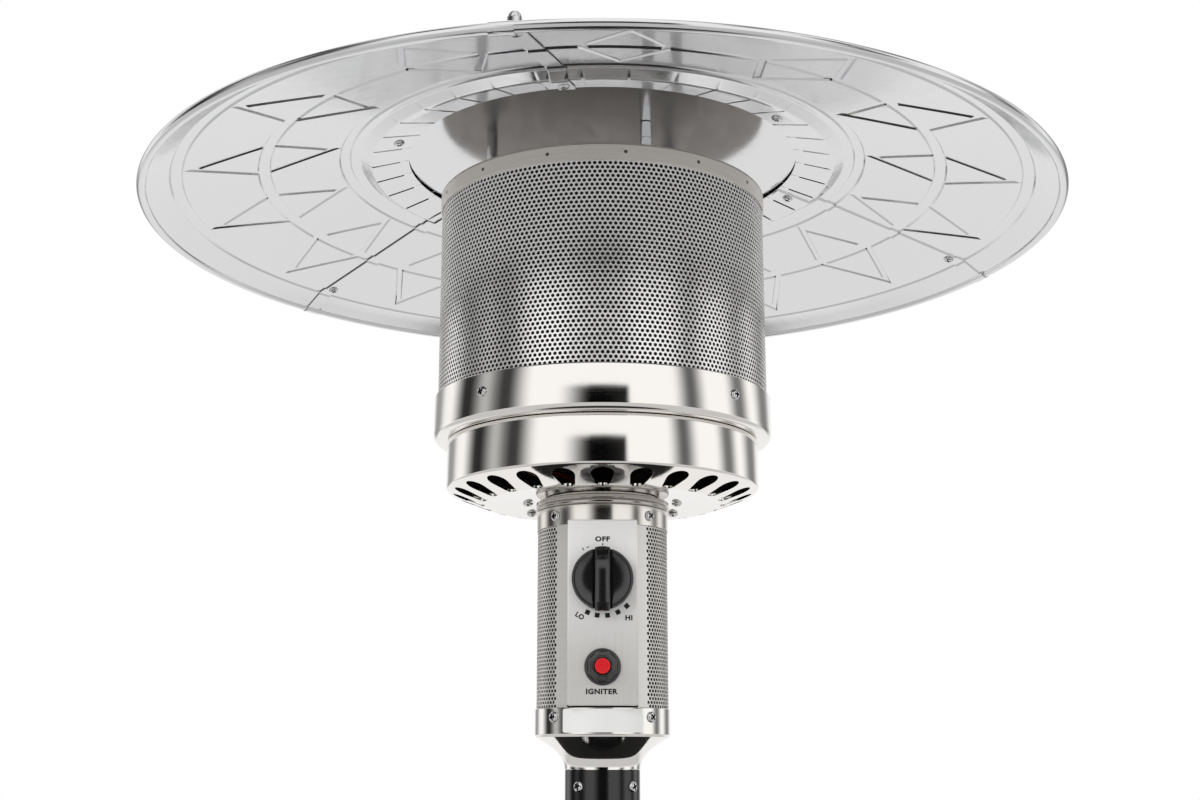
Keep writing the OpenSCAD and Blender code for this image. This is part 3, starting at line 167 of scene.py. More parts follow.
@dataclass(frozen=True)
class Finish:
    """A surface as its maker leaves it; the plain form has fine grain in its gloss."""

    name: str
    colour: str
    metallic: float = 0.0
    roughness: float = 0.5
    grain: float = 1.0
    unevenness: float = 0.06
    relief: float = 0.0
    ior: float = 1.5

    def material(self) -> bpy.types.Material:
        """Builds the material once and returns it each time."""
        made = bpy.data.materials.get(self.name)
        if made:
            return made
        made = bpy.data.materials.new(self.name)
        made.use_nodes = True
        tree = made.node_tree
        shader = tree.nodes["Principled BSDF"]
        for name, value in (("Base Color", linear(self.colour)), ("Metallic", self.metallic),
                            ("Roughness", self.roughness), ("IOR", self.ior)):
            shader.inputs[name].default_value = value
        self.dress(Surface(tree, shader, add_node(tree, "ShaderNodeTexCoord").outputs["Object"]))
        return made

    def gloss(self, on: Surface, factor: Socket) -> None:
        """Lets a factor vary the roughness about its middle value."""
        low, high = self.roughness - self.unevenness, self.roughness + self.unevenness
        on.feed("Roughness", on.spread(factor, low, high))

    def dress(self, on: Surface) -> None:
        """Adds the even grain that the plain form of a finish has."""
        grain = on.noise((self.grain,))
        self.gloss(on, grain)
        on.emboss(grain, self.relief)


@dataclass(frozen=True)
class PolishedSteel(Finish):
    """Stainless steel spun and buffed on a lathe: faint rings and a few soft smears."""

    metallic: float = 1.0
    line: float = 0.5
    smear: float = 45.0
    lap: float = 60.0

    def dress(self, on: Surface) -> None:
        """Adds buffing rings to the gloss and a slight wave to the surface."""
        rings = on.noise((self.lap, self.lap, self.line), 2.0)
        smears = on.noise((self.smear,), 2.0)
        half = add_node(on.tree, "ShaderNodeMath", {"operation": "MULTIPLY", 1: 0.5}, {0: smears})
        both = add_node(on.tree, "ShaderNodeMath", {"operation": "MULTIPLY_ADD", 1: 0.5},
                        {0: rings, 2: half.outputs[0]})
        self.gloss(on, both.outputs[0])
        on.emboss(smears, self.relief)


@dataclass(frozen=True)
class BrushedSteel(Finish):
    """Stainless sheet brushed with a belt: straight hairlines of light and dark."""

    metallic: float = 1.0
    hairline: float = 0.35
    length: float = 40.0
    tone: str = "#FFFFFF"
    upright: bool = True
    anisotropic: float = 0.0
    shade: str = ""
    shade_from: float = 0.0
    shade_to: float = 0.0

    def dress(self, on: Surface) -> None:
        """Adds hairlines to the colour, the gloss and the relief."""
        along = (self.hairline, self.hairline, self.length)
        round_about = (self.length, self.length, self.hairline)
        lines = on.noise(along if self.upright else round_about, 4.0)
        on.mix(self.colour, self.tone, {0: on.spread(lines, 0.0, 1.0)})
        # Painted shade: a darker tone multiplied into the colour between two heights
        if self.shade:
            self.paint_shade(on)
        self.gloss(on, lines)
        on.shader.inputs["Anisotropic"].default_value = self.anisotropic
        if self.anisotropic:
            tangent = add_node(on.tree, "ShaderNodeTangent", {"direction_type": "RADIAL",
                                                              "axis": "Z"})
            on.feed("Tangent", tangent.outputs["Tangent"])
        on.emboss(lines, self.relief)

    def paint_shade(self, on: Surface) -> None:
        """Multiplies the colour by the painted shade, which comes in between two heights."""
        height = add_node(on.tree, "ShaderNodeSeparateXYZ", None, {0: on.place}).outputs["Z"]
        share = add_node(on.tree, "ShaderNodeMapRange",
                         {"interpolation_type": "SMOOTHSTEP", "From Min": self.shade_from * MM,
                          "From Max": self.shade_to * MM}, {"Value": height})
        lined = on.shader.inputs["Base Color"].links[0].from_socket
        on.mix(self.colour, self.shade, {0: share.outputs["Result"], 6: lined}, "MULTIPLY")


@dataclass(frozen=True)
class BrightSheet(Finish):
    """Bright rolled sheet, pressed: near a mirror, with the press's soft waves."""

    metallic: float = 1.0
    wave: float = 35.0
    scuff: float = 3.0

    def dress(self, on: Surface) -> None:
        """Adds soft waves to the surface and fine scuffs to the gloss."""
        self.gloss(on, on.noise((self.scuff * 6, self.scuff, self.scuff)))
        on.emboss(on.noise((self.wave,), 2.0), self.relief)


@dataclass(frozen=True)
class PerforatedSteel(Finish):
    """Perforated stainless sheet, rolled to a tube: punching leaves it faintly dented."""

    metallic: float = 1.0
    dent: float = 18.0

    def dress(self, on: Surface) -> None:
        """Adds dents that break the reflections into patches."""
        self.gloss(on, on.noise((self.grain,), 2.0))
        on.emboss(on.noise((self.dent,)), self.relief)


# Hood of bright pressed sheet: near a mirror, so it picks up the white floor
HOOD_SHEET = BrightSheet("bright_pressed_sheet", "#DFDFE0", roughness=0.13, unevenness=0.03,
                         relief=0.05)
# Stainless spun and buffed, a trace warm: crisp light and dark bands
BUFFED_STEEL = PolishedSteel("buffed_stainless", "#F2EFEB", roughness=0.07, unevenness=0.04,
                             relief=0.02)
# Stainless buffed less, so that the bands run softly into one another
HALF_MATT = PolishedSteel("half_matt_stainless", "#E4E0DA", roughness=0.15, unevenness=0.05,
                          relief=0.03)
# The neck's collar, buffed, its colour painted darker as a painted reflection of the black post
# and the ring above
REFLECTION_DARKENED_STEEL = PolishedSteel("buffed_stainless_painted_reflection", "#B4B0AA", roughness=0.1,
                            unevenness=0.04, relief=0.02)
# Dark lining behind the holes, painted shade for the shaded inside of the tube: it makes the
# holes read as dark dots
SHADE_LINING = Finish("painted_shade_lining", "#121110", 0.0, 0.8, grain=1.5)
# Stainless left satin by a fine belt: soft, low contrast
SATIN_STEEL = BrushedSteel("satin_stainless", "#E2DED6", roughness=0.34, unevenness=0.05,
                           tone="#F2EEE8", upright=False, relief=0.01)
# Panel brushed upright with a coarser belt, dense enough to scatter: light grey with hairlines,
# and painted shade that darkens it towards the bottom
BRUSHED_PANEL = BrushedSteel("brushed_stainless_panel", "#F5F4F2", 0.12, roughness=0.46,
                             unevenness=0.06, tone="#FFFFFE", shade="#D2D1CF",
                             shade_from=1835.0, shade_to=1705.0, anisotropic=0.7, relief=0.01)
# Perforated stainless: bright webs with patchy reflections
EMITTER_MESH = PerforatedSteel("perforated_stainless", "#FCFBF9", 0.75, roughness=0.26,
                               unevenness=0.08, relief=0.42)
HOUSING_MESH = PerforatedSteel("perforated_housing_steel", "#EAE8E4", 0.62, roughness=0.36,
                               unevenness=0.05, relief=0.03, dent=14.0)
# Bright zinc plate on steel screws and nuts: small sharp glints
ZINC_PLATE = Finish("bright_zinc_plate", "#D6D6D6", 1.0, 0.07, grain=1.2, unevenness=0.05)
# Recess of a screw, painted dark as shade, so that the cross reads dark
RECESS_SHADE = Finish("screw_recess_painted_shade", "#23211F", 0.3, 0.6, grain=0.6)
# Turned steel sleeves left satin
TURNED_STEEL = PolishedSteel("turned_steel", "#E2E2E2", roughness=0.1, unevenness=0.04)
# Lid over the flame: tinted by heat, so the mirror above it shows a grey
TINTED_STEEL = Finish("heat_tinted_steel", "#B7B2AC", 1.0, 0.4, grain=9.0, unevenness=0.1)
# Inside of the pan, painted dark as shade, with no gloss, so the slots read dark
PAN_INSIDE_SHADE = Finish("pan_inside_painted_shade", "#1B1917", 0.0, 0.8, grain=3.0)
# Weld spots: oxide browned by heat
WELD_OXIDE = Finish("weld_oxide", "#6A5D50", 0.8, 0.5, grain=0.8, relief=0.05)
# Steel that the burner has heated: brown and blue grey, no gloss
HEATED_STEEL = Finish("heat_stained_steel", "#6E665F", 1.0, 0.45, grain=9.0, unevenness=0.12)
BRASS = Finish("turned_brass", "#B8965A", 1.0, 0.3, grain=1.5)
COPPER = Finish("drawn_copper", "#B47850", 1.0, 0.32, grain=1.5)
# Glazed insulator
GLAZED_CERAMIC = Finish("glazed_ceramic", "#F0EBE0", 0.0, 0.15, grain=6.0, unevenness=0.03)
LEAD_SLEEVE = Finish("silicone_lead_sleeve", "#96201A", 0.0, 0.5)
# Vinyl label: white, smooth, slightly glossy
WHITE_VINYL = Finish("white_vinyl_label", "#F3F3F1", 0.0, 0.32, grain=8.0, unevenness=0.04,
                     relief=0.01)
# Moulded thermoset with a fine spark-eroded grain, drawn a little coarse so that it shows
MOULDED_BLACK = Finish("moulded_black_plastic", "#131314", 0.0, 0.2, grain=0.6,
                       unevenness=0.04, relief=0.003, ior=1.7)
MOULDED_RED = Finish("moulded_red_plastic", "#E0141C", 0.0, 0.3, grain=3.0, relief=0.01)
PAD_PRINT = Finish("pad_print_ink", "#070707", 0.0, 0.6, grain=1.0)
SPRING_WIRE = Finish("spring_wire", "#8A8A8A", 1.0, 0.3)
# Powder coat: deep black with a fine orange peel that softens the light
POWDER_COAT = Finish("black_powder_coat", "#0D0D0E", 0.0, 0.17, grain=1.6, unevenness=0.04,
                     relief=0.015, ior=1.6)
BLACK_RUBBER = Finish("black_rubber", "#1C1C1C", 0.0, 0.75, grain=1.2, relief=0.08)
MOULDED_WHEEL = Finish("moulded_wheel_plastic", "#1E1E1F", 0.0, 0.5, grain=0.8, relief=0.05)
CYLINDER_ENAMEL = Finish("cylinder_enamel", "#D8D8D4", 0.0, 0.25, grain=2.5, relief=0.04)
HANDWHEEL_BLUE = Finish("handwheel_plastic", "#1E3F8C", 0.0, 0.4, grain=0.8, relief=0.03)
CAST_ZINC = Finish("cast_zinc", "#8F8F90", 1.0, 0.42, grain=1.0, relief=0.05)

SLOT_FINISH = {
    "bright_sheet": HOOD_SHEET, "steel_fasteners": ZINC_PLATE, "steel_spacers": TURNED_STEEL,
    "emitter_steel": SATIN_STEEL, "polished_steel": BUFFED_STEEL,
    "housing_steel": HOUSING_MESH, "panel_steel": BRUSHED_PANEL, "heat_steel": HEATED_STEEL,
    "brass": BRASS, "copper": COPPER, "ceramic": GLAZED_CERAMIC, "lead_rubber": LEAD_SLEEVE,
    "label": WHITE_VINYL, "black_plastic": MOULDED_BLACK, "red_plastic": MOULDED_RED,
    "spring_steel": SPRING_WIRE, "black_paint": POWDER_COAT, "foot_rubber": BLACK_RUBBER,
    "wheel_plastic": MOULDED_WHEEL, "cylinder_paint": CYLINDER_ENAMEL,
    "handwheel_plastic": HANDWHEEL_BLUE, "regulator_metal": CAST_ZINC,
    "hose_rubber": BLACK_RUBBER,
}
SLOT_OF = {part["node"]: part["material_slot"] for part in frame["record"]["subparts"]}
BODY_OF = {node: body for body, nodes in frame["record"]["behaviour"]["bodies"].items()
           for node in nodes}


# Shape helpers

@dataclass(frozen=True)
class Span:
    """Where a CAD node lies about the post's axis."""

    radius: float
    low: float
    high: float
    front: float

    @property
    def middle(self) -> float:
        """Height halfway up the node."""
        return (self.low + self.high) / 2


@cache
def span(node: str) -> Span:
    """Reads a node's radius, heights and foremost Y from its box, in millimetres."""
    lo, hi = (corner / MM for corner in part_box(node))
    return Span(max(hi.x, -lo.x), lo.z, hi.z, lo.y)


def polar(radius: float, deg: float, z: float = 0.0) -> Vector:
    """Point at a radius from the axis, at an angle left of the front."""
    a = math.radians(deg)
    return Vector((-radius * math.sin(a), -radius * math.cos(a), z))


def outward(deg: float) -> Vector:
    """Unit vector away from the axis, at an angle left of the front."""
    return polar(1.0, deg)


def leftward(deg: float) -> Vector:
    """Unit vector along the turn, at an angle left of the front."""
    return polar(1.0, deg + 90)


def arc(r: float, z: float, radius: float, start: float, end: float,
        steps: int = 6) -> Outline:
    """Points on an arc of an outline.

    Args:
        r: Distance of the arc's centre from the axis.
        z: Height of the arc's centre.
        radius: The arc's radius.
        start: First angle, from the outward direction towards up.
        end: Last angle.
        steps: Number of straight pieces.

    Returns:
        Points as radius and height.
    """
    angles = [math.radians(start + (end - start) * i / steps) for i in range(steps + 1)]
    return [(r + radius * math.cos(a), z + radius * math.sin(a)) for a in angles]


def walled(line: Outline, wall: float) -> Outline:
    """Closes an outline by running back beside it.

    Args:
        line: The wall's outer line.
        wall: The wall's thickness; the wall lies left of the line.

    Returns:
        The closed outline of the wall.
    """
    points = [Vector(p) for p in line]
    ways = [(b - a).normalized() for a, b in zip(points, points[1:])]
    back = []
    for i, point in enumerate(points):
        before, after = ways[max(i - 1, 0)], ways[min(i, len(ways) - 1)]
        way = (before + after).normalized()
        share = max(way.dot(before), 0.4)
        back.append(point + Vector((-way.y, way.x)) * wall / share)
    return [tuple(p) for p in points] + [tuple(p) for p in reversed(back)]


def spun(outline: Outline, steps: int = 192, start: float = 0.0,
         sweep: float = FULL_TURN) -> Mesh:
    """Spins a closed outline round the axis into a solid.

    Args:
        outline: Points as radius and height.
        steps: Number of steps of the spin.
        start: Angle left of the front where the spin starts.
        sweep: Angle of the spin, towards the left.

    Returns:
        A closed mesh in millimetres.
    """
    mesh = bmesh.new()
    verts = [mesh.verts.new(polar(r, start, z)) for r, z in outline]
    ring = [mesh.edges.new((a, b)) for a, b in zip(verts, verts[1:] + verts[:1])]
    full = sweep == FULL_TURN
    geom = [*verts, *ring]
    if not full:
        geom.append(mesh.faces.new(verts))
    bmesh.ops.spin(mesh, geom=geom, cent=(0, 0, 0), axis=(0, 0, -1),
                   angle=math.radians(sweep), steps=steps, use_merge=full)
    bmesh.ops.remove_doubles(mesh, verts=mesh.verts, dist=1e-4)
    bmesh.ops.recalc_face_normals(mesh, faces=mesh.faces)
    return mesh


def block(low: Sequence[float], high: Sequence[float], round_off: float = 0.0,
          segments: int = 3) -> Mesh:
    """A box between two corners with rounded edges.

    Args:
        low: Lowest corner.
        high: Highest corner.
        round_off: Radius of all edges.
        segments: Steps of each rounded edge.

    Returns:
        A closed mesh in millimetres.
    """
    mesh = bmesh.new()
    low, high = Vector(low), Vector(high)
    size = high - low
    bmesh.ops.create_cube(mesh, size=1.0, matrix=Matrix.Translation((low + high) / 2)
                          @ Matrix.Diagonal((*size, 1.0)))
    if round_off:
        bevel(mesh, mesh.edges, round_off, segments)
    return mesh


def bevel(mesh: Mesh, edges: Iterable[bmesh.types.BMEdge], offset: float, segments: int) -> None:
    """Rounds some edges of a mesh."""
    bmesh.ops.bevel(mesh, geom=list(edges), offset=offset, segments=segments, profile=0.5,
                    affect="EDGES", material=-1, clamp_overlap=False)


def points_in(geom: Iterable) -> list[bmesh.types.BMVert]:
    """Picks the points out of what an operator made."""
    return [g for g in geom if isinstance(g, bmesh.types.BMVert)]


def about_z(deg: float) -> Matrix:
    """Turn about the Z axis."""
    return Matrix.Rotation(math.radians(deg), 4, "Z")


def pushed(points: Iterable[Sequence[float]], way: Sequence[float]) -> Mesh:
    """Pushes a flat outline along a way into a closed solid."""
    mesh = bmesh.new()
    face = mesh.faces.new([mesh.verts.new(p) for p in points])
    push = bmesh.ops.extrude_face_region(mesh, geom=[face])["geom"]
    bmesh.ops.translate(mesh, vec=way, verts=points_in(push))
    bmesh.ops.recalc_face_normals(mesh, faces=mesh.faces)
    return mesh


def hexagon(radius: float, depth: float, middle: float) -> Mesh:
    """A nut's six-sided body with eased edges."""
    mesh = bmesh.new()
    bmesh.ops.create_cone(mesh, cap_ends=True, segments=6, radius1=radius, radius2=radius,
                          depth=depth, matrix=Matrix.Translation((0, 0, middle)))
    bevel(mesh, mesh.edges, 0.3, 2)
    return mesh


def sleeve(inner: float, outer: float, low: float, high: float, edge: float = 0.0) -> Outline:
    """Outline of a sleeve or a disc, its outer edges chamfered where a size is given."""
    if not edge:
        return [(inner, low), (outer, low), (outer, high), (inner, high)]
    return [(inner, low), (outer - edge, low), (outer, low + edge), (outer, high - edge),
            (outer - edge, high), (inner, high)]


def mesh_data(name: str, mesh: Mesh) -> bpy.types.Mesh:
    """Turns a mesh into data for an object and frees it."""
    data = bpy.data.meshes.new(name)
    mesh.to_mesh(data)
    mesh.free()
    return data


def linked(name: str, data: bpy.types.ID) -> Thing:
    """Makes an object of its data and puts it in the scene."""
    made = bpy.data.objects.new(name, data)
    bpy.context.scene.collection.objects.link(made)
    return made


def placed(mesh: Mesh, matrix: Matrix) -> Mesh:
    """Moves a mesh by a matrix and returns it."""
    bmesh.ops.transform(mesh, matrix=matrix, verts=mesh.verts)
    return mesh


def add_to(mesh: Mesh, other: Mesh,
           matrix: Optional[Matrix] = None) -> None:
    """Moves another mesh's shape into this one, placed by a matrix, and frees it."""
    if matrix is not None:
        bmesh.ops.transform(other, matrix=matrix, verts=other.verts)
    data = mesh_data("moved", other)
    mesh.from_mesh(data)
    bpy.data.meshes.remove(data)


def carved(mesh: Mesh, cutter: Mesh) -> Mesh:
    """Cuts one closed mesh out of another and frees both.

    Args:
        mesh: The mesh that keeps what the cutter leaves.
        cutter: The mesh that is cut out.

    Returns:
        The carved mesh.
    """
    pair = [linked("carving", mesh_data("carving", shape)) for shape in (mesh, cutter)]
    cut = pair[0].modifiers.new("cut", "BOOLEAN")
    cut.object, cut.operation, cut.solver = pair[1], "DIFFERENCE", "EXACT"
    seen = pair[0].evaluated_get(bpy.context.evaluated_depsgraph_get())
    result = bmesh.new()
    result.from_mesh(seen.to_mesh())
    for item in pair:
        data = item.data
        bpy.data.objects.remove(item)
        bpy.data.meshes.remove(data)
    return result


def cut_line(mesh: Mesh, faces: Iterable[bmesh.types.BMFace], point: Vector,
             normal: Vector) -> list[bmesh.types.BMFace]:
    """Cuts some faces along an upright plane.

    Args:
        mesh: The mesh that holds the faces.
        faces: The faces to cut.
        point: A point of the plane.
        normal: The plane's normal.

    Returns:
        The faces that stand in the same place after the cut.
    """
    faces = list(faces)
    geom = {*faces, *(e for f in faces for e in f.edges), *(v for f in faces for v in f.verts)}
    result = bmesh.ops.bisect_plane(mesh, geom=list(geom), dist=0.02, plane_co=point,
                                    plane_no=normal)
    return [g for g in result["geom"] if isinstance(g, bmesh.types.BMFace)]


def tiled(mesh: Mesh, step: Vector, count: int) -> None:
    """Lays copies of a mesh side by side, taking all that is there each time.

    Args:
        mesh: The mesh that holds one tile.
        step: The way from one tile to the next.
        count: The number of tiles wanted.
    """
    tile = len(mesh.faces)
    made = 1
    while made < count:
        take = min(made, count - made)
        mesh.faces.ensure_lookup_table()
        copy = bmesh.ops.duplicate(mesh, geom=mesh.faces[:take * tile])["geom"]
        bmesh.ops.translate(mesh, verts=points_in(copy), vec=step * made)
        made += take
    bmesh.ops.remove_doubles(mesh, verts=mesh.verts, dist=0.05)


def piece(name: str, mesh: Mesh, *nodes: str, finish: Optional[Finish] = None,
          body: str = "root", sharp: float = 32.0) -> Thing:
    """Makes a finished piece of a mesh and frees the mesh.

    Args:
        name: The piece's name.
        mesh: Its shape in millimetres.
        nodes: The CAD nodes that it stands for; the first gives its body and its slot.
        finish: Its finish, where it isn't the slot's own.
        body: The CAD body that it rides on, where it stands for no node.
        sharp: Edges that turn more than this stay sharp.

    Returns:
        The piece's object.
    """
    bmesh.ops.scale(mesh, vec=(MM, MM, MM), verts=mesh.verts)
    name = f"{name}_finished" if name in SLOT_OF else name
    data = mesh_data(name, mesh)
    data.polygons.foreach_set("use_smooth", [True] * len(data.polygons))
    data.set_sharp_from_angle(angle=math.radians(sharp))
    made = linked(name, data)
    slot = SLOT_OF[nodes[0]] if nodes else None
    data.materials.append((finish or SLOT_FINISH[slot]).material())
    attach(made, BODY_OF[nodes[0]] if nodes else body)
    if nodes:
        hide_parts(*nodes)
    log.info("%s: %d faces", name, len(data.polygons))
    return made


def facing(place: Vector, out: Vector, turn: float = 0.0) -> Matrix:
    """Matrix that sets a shape's +Z along a direction at a place, turned about itself."""
    return (Matrix.Translation(place) @ out.to_track_quat("Z", "Y").to_matrix().to_4x4()
            @ about_z(turn))


@dataclass(frozen=True)
class CrossScrew:
    """Pan head screw with a cross recess; its head's seat is at z = 0."""

    radius: float = 4.5
    height: float = 2.6
    slot_w: float = 1.6
    slot_l: float = 3.0
    slot_deep: float = 2.2
    shank: float = 2.0
    length: float = 6.0

    def head(self) -> Mesh:
        """Spins the domed head and cuts the cross into it."""
        r, h = self.radius, self.height
        dome = [(0.0, -self.length), (self.shank, -self.length), (self.shank, 0.0), (r, 0.0),
                (r, h * 0.2), (r * 0.97, h * 0.45), (r * 0.86, h * 0.7), (r * 0.66, h * 0.88),
                (r * 0.36, h * 0.98), (0.0, h)]
        mesh = spun(dome, 32)
        for turn in (0, 90):
            arm = block((-self.slot_l, -self.slot_w / 2, h - self.slot_deep),
                        (self.slot_l, self.slot_w / 2, h + 1), 0.25, 2)
            mesh = carved(mesh, placed(arm, about_z(turn)))
        # Faces down in the cross take the second material, painted shade for the recess
        for face in mesh.faces:
            middle = face.calc_center_median()
            inside = math.hypot(middle.x, middle.y) < self.slot_l + 0.05 and middle.z > 0
            sunk = middle.z < h - self.slot_deep + 0.3 or abs(face.normal.z) < 0.5
            face.material_index = int(inside and sunk)
        return mesh


def screws(name: str, node: str, places: Sequence[tuple[Vector, Vector, float]],
           kind: CrossScrew) -> Thing:
    """Sets a screw of one kind at each place, which is a point, a direction and a turn."""
    group = bmesh.new()
    data = mesh_data("screw", kind.head())
    for place, out, turn in places:
        one = bmesh.new()
        one.from_mesh(data)
        add_to(group, one, facing(place, out, turn))
    bpy.data.meshes.remove(data)
    made = piece(name, group, node)
    # Second material: painted shade in the cross recesses
    made.data.materials.append(RECESS_SHADE.material())
    return made


# Reflector

class HoodPanel(Enum):
    """The three pressed panels: node, seams after the near one, and the diamonds' middles."""

    LEFT = ("reflector_panel_left", 0, (23.2, 50.1, 73.7, 96.7, 118.9))
    BACK = ("reflector_panel_back", 1, (142.2, 165.6, 188.7, 211.7, 234.9))
    RIGHT = ("reflector_panel_right", 2, (258.7, 282.0, 305.8, 330.6, 356.9))


@dataclass(frozen=True)
class Bar:
    """Embossed bar of a diamond, from its foot on a ring to its apex on the diamond's line."""

    foot_r: float
    apex_r: float
    foot_deg: float = 5.85
    width: float = 7.4

    @property
    def ends(self) -> tuple[Vector, Vector]:
        """Foot and apex, across and along the diamond's line."""
        a = math.radians(self.foot_deg)
        return (Vector((self.foot_r * math.sin(a), self.foot_r * math.cos(a))),
                Vector((0.0, self.apex_r)))

    def depth(self, across: float, along: float) -> float:
        """Distance inside the bar's edge at a point, below zero outside the bar."""
        foot, apex = self.ends
        low, high = min(foot.y, apex.y), max(foot.y, apex.y)
        if not low - self.width <= along <= high + self.width:
            return -self.width
        way = (apex - foot).normalized()
        reach = Vector((across, along)) - foot
        return self.width / 2 - abs(reach.x * way.y - reach.y * way.x)


def turned(deg: float, middle: float) -> float:
    """Angle from a middle line, between minus and plus half a turn."""
    return (deg - middle + FULL_TURN / 2) % FULL_TURN - FULL_TURN / 2


def bearing(point: Vector) -> tuple[float, float]:
    """A point's distance from the axis and its angle left of the front."""
    return math.hypot(point.x, point.y), math.degrees(math.atan2(-point.x, -point.y))


@dataclass
class Reflector:
    """Hood of three lapped panels and a centre disc, on three studs."""

    sheet: float = 0.8
    open_r: float = 176.0
    step_in: float = 209.0
    step_out: float = 219.0
    flange_fall: float = 8.3
    step_rise: float = 5.4
    cone_deg: float = 15.5
    rim_w: float = 25.4
    bead_r: float = 4.0
    sleeve_r: float = 4.9
    seam_deg: float = 9.4
    lap_w: float = 15.0
    lap_drop: float = 1.5
    under_disc: float = 2.2
    emboss: float = 1.3
    slope: float = 1.4
    rings: tuple = ((227.0, 238.0), (296.0, 308.0), (369.0, 381.0))
    bars: tuple = (Bar(308.0, 362.0), Bar(296.0, 245.0))
    rib_deg: float = 4.3
    rib_pitch: float = 10.0
    rib_w: float = 3.0
    rib_deep: float = 0.9
    seat: float = 0.3
    bend: float = 1.3
    joggle: float = 1.4
    row_pitch: float = 9.0
    bar_reach_deg: float = 8.5
    rib_reach_deg: float = 1.8
    sweep_deg: float = 120.0
    spare_deg: float = 3.0
    screw_in_r: float = 190.0
    screw_out_r: float = 367.0
    stud_place_r: float = 103.0
    stud_deg: float = -21.0
    stud_r: float = 3.0

    def __post_init__(self) -> None:
        """Takes the hood's place from the frame."""
        panel, disc = span("reflector_panel_back"), span("reflector_disc")
        self.outer_r = span("reflector_panel_left").radius
        self.disc_r = disc.radius
        self.z_disc = disc.high - self.sheet
        self.z_open = self.z_disc - self.under_disc
        self.z_bead = panel.low + self.bead_r
        self.band_in = self.outer_r - self.rim_w
        self.band_out = self.outer_r - 1.8 * self.bead_r

    def line(self, r: float) -> float:
        """Height of the panels' underside at a radius, without its embossing."""
        z_step = self.z_open - self.flange_fall
        z_cone = z_step + self.step_rise
        z_rim = z_cone - (self.band_in - self.step_out) * math.tan(math.radians(self.cone_deg))
        if r < self.step_in:
            share = (r - self.open_r) / (self.step_in - self.open_r)
            return self.z_open - self.flange_fall * share
        if r < self.step_out:
            return z_step + self.step_rise * (r - self.step_in) / (self.step_out - self.step_in)
        if r < self.band_in:
            return z_cone - (r - self.step_out) * math.tan(math.radians(self.cone_deg))
        share = (r - self.band_in) / (self.band_out - self.band_in)
        return z_rim + (self.z_bead - z_rim) * share

    def soft_line(self, r: float) -> float:
        """The underside's height with its bends rounded as a press rounds them."""
        return (self.line(r - self.bend) + 2 * self.line(r) + self.line(r + self.bend)) / 4

    def relief(self, r: float, deg: float, diamonds: Sequence[float]) -> float:
        """Share of the embossing's depth at a point of a panel."""
        off = math.radians(min((abs(turned(deg, d)) for d in diamonds)))
        depths = [min(r - low, high - r) for low, high in self.rings]
        depths += [bar.depth(r * math.sin(off), r * math.cos(off)) for bar in self.bars]
        return min(max(max(depths) / self.slope, 0.0), 1.0)

    def rib(self, r: float, deg: float) -> float:
        """Share of a flange rib's depth at a point."""
        if r > self.step_out:
            return 0.0
        off = abs(turned((deg - self.rib_deg) * FULL_TURN / self.rib_pitch, 0.0))
        off_deg = off * self.rib_pitch / FULL_TURN
        side = 1 - 2 * r * math.radians(off_deg) / self.rib_w
        end = min((r - self.open_r) / 4, (self.step_in + 2 - r) / 4, 1.0)
        return max(min(side, end), 0.0)

    def radii(self) -> list[float]:
        """Radii of the panel's rows of points: every bend, with even rows between."""
        bends = [self.open_r, self.step_in, self.step_out, self.band_out]
        for r in (self.step_in, self.step_out, self.band_in):
            bends += [r - self.bend, r + self.bend]
        for low, high in self.rings:
            bends += [low, low + self.slope, high - self.slope, high]
        bends.sort()
        rows = []
        for low, high in zip(bends, bends[1:]):
            parts = max(1, round((high - low) / self.row_pitch))
            rows += [low + (high - low) * i / parts for i in range(parts)]
        return rows + [bends[-1]]

    def cut_embossing(self, mesh: Mesh, diamonds: Sequence[float]) -> None:
        """Cuts the panel's grid along the edges of its bars and ribs."""
        where = {f: bearing(f.calc_center_median()) for f in mesh.faces}
        for middle in diamonds:
            radial, across = outward(middle), leftward(middle)
            astride = [f for f, (r, deg) in where.items() if abs(turned(deg, middle)) < 1.5]
            for face in cut_line(mesh, astride, Vector(), across):
                where[face] = bearing(face.calc_center_median())
            for side in (-1, 1):
                for bar in self.bars:
                    low, high = sorted((bar.foot_r, bar.apex_r))
                    faces = [f for f, (r, deg) in where.items() if f.is_valid
                             and low - 10 < r < high + 12
                             and 0 < turned(deg, middle) * side < self.bar_reach_deg]
                    foot, apex = (radial * p.y + across * side * p.x for p in bar.ends)
                    normal = (apex - foot).cross(Vector((0, 0, 1))).normalized()
                    half = bar.width / 2
                    for off in (-half, self.slope - half, half - self.slope, half):
                        faces = cut_line(mesh, faces, foot + normal * off, normal)
                    for face in faces:
                        where[face] = bearing(face.calc_center_median())
        for k in range(round(FULL_TURN / self.rib_pitch)):
            middle = self.rib_deg + k * self.rib_pitch
            faces = [f for f, (r, deg) in where.items() if f.is_valid and r < self.step_out
                     and abs(turned(deg, middle)) < self.rib_reach_deg]
            for off in (-self.rib_w / 2, 0, self.rib_w / 2):
                faces = cut_line(mesh, faces, leftward(middle) * off, leftward(middle))

    def lap(self, point: Vector, seam: float) -> float:
        """Share of the lap's drop at a point: the panel's first strip lies under the next."""
        past = point.dot(leftward(seam)) - self.lap_w / 2
        return min(max(-past / self.joggle, 0.0), 1.0)

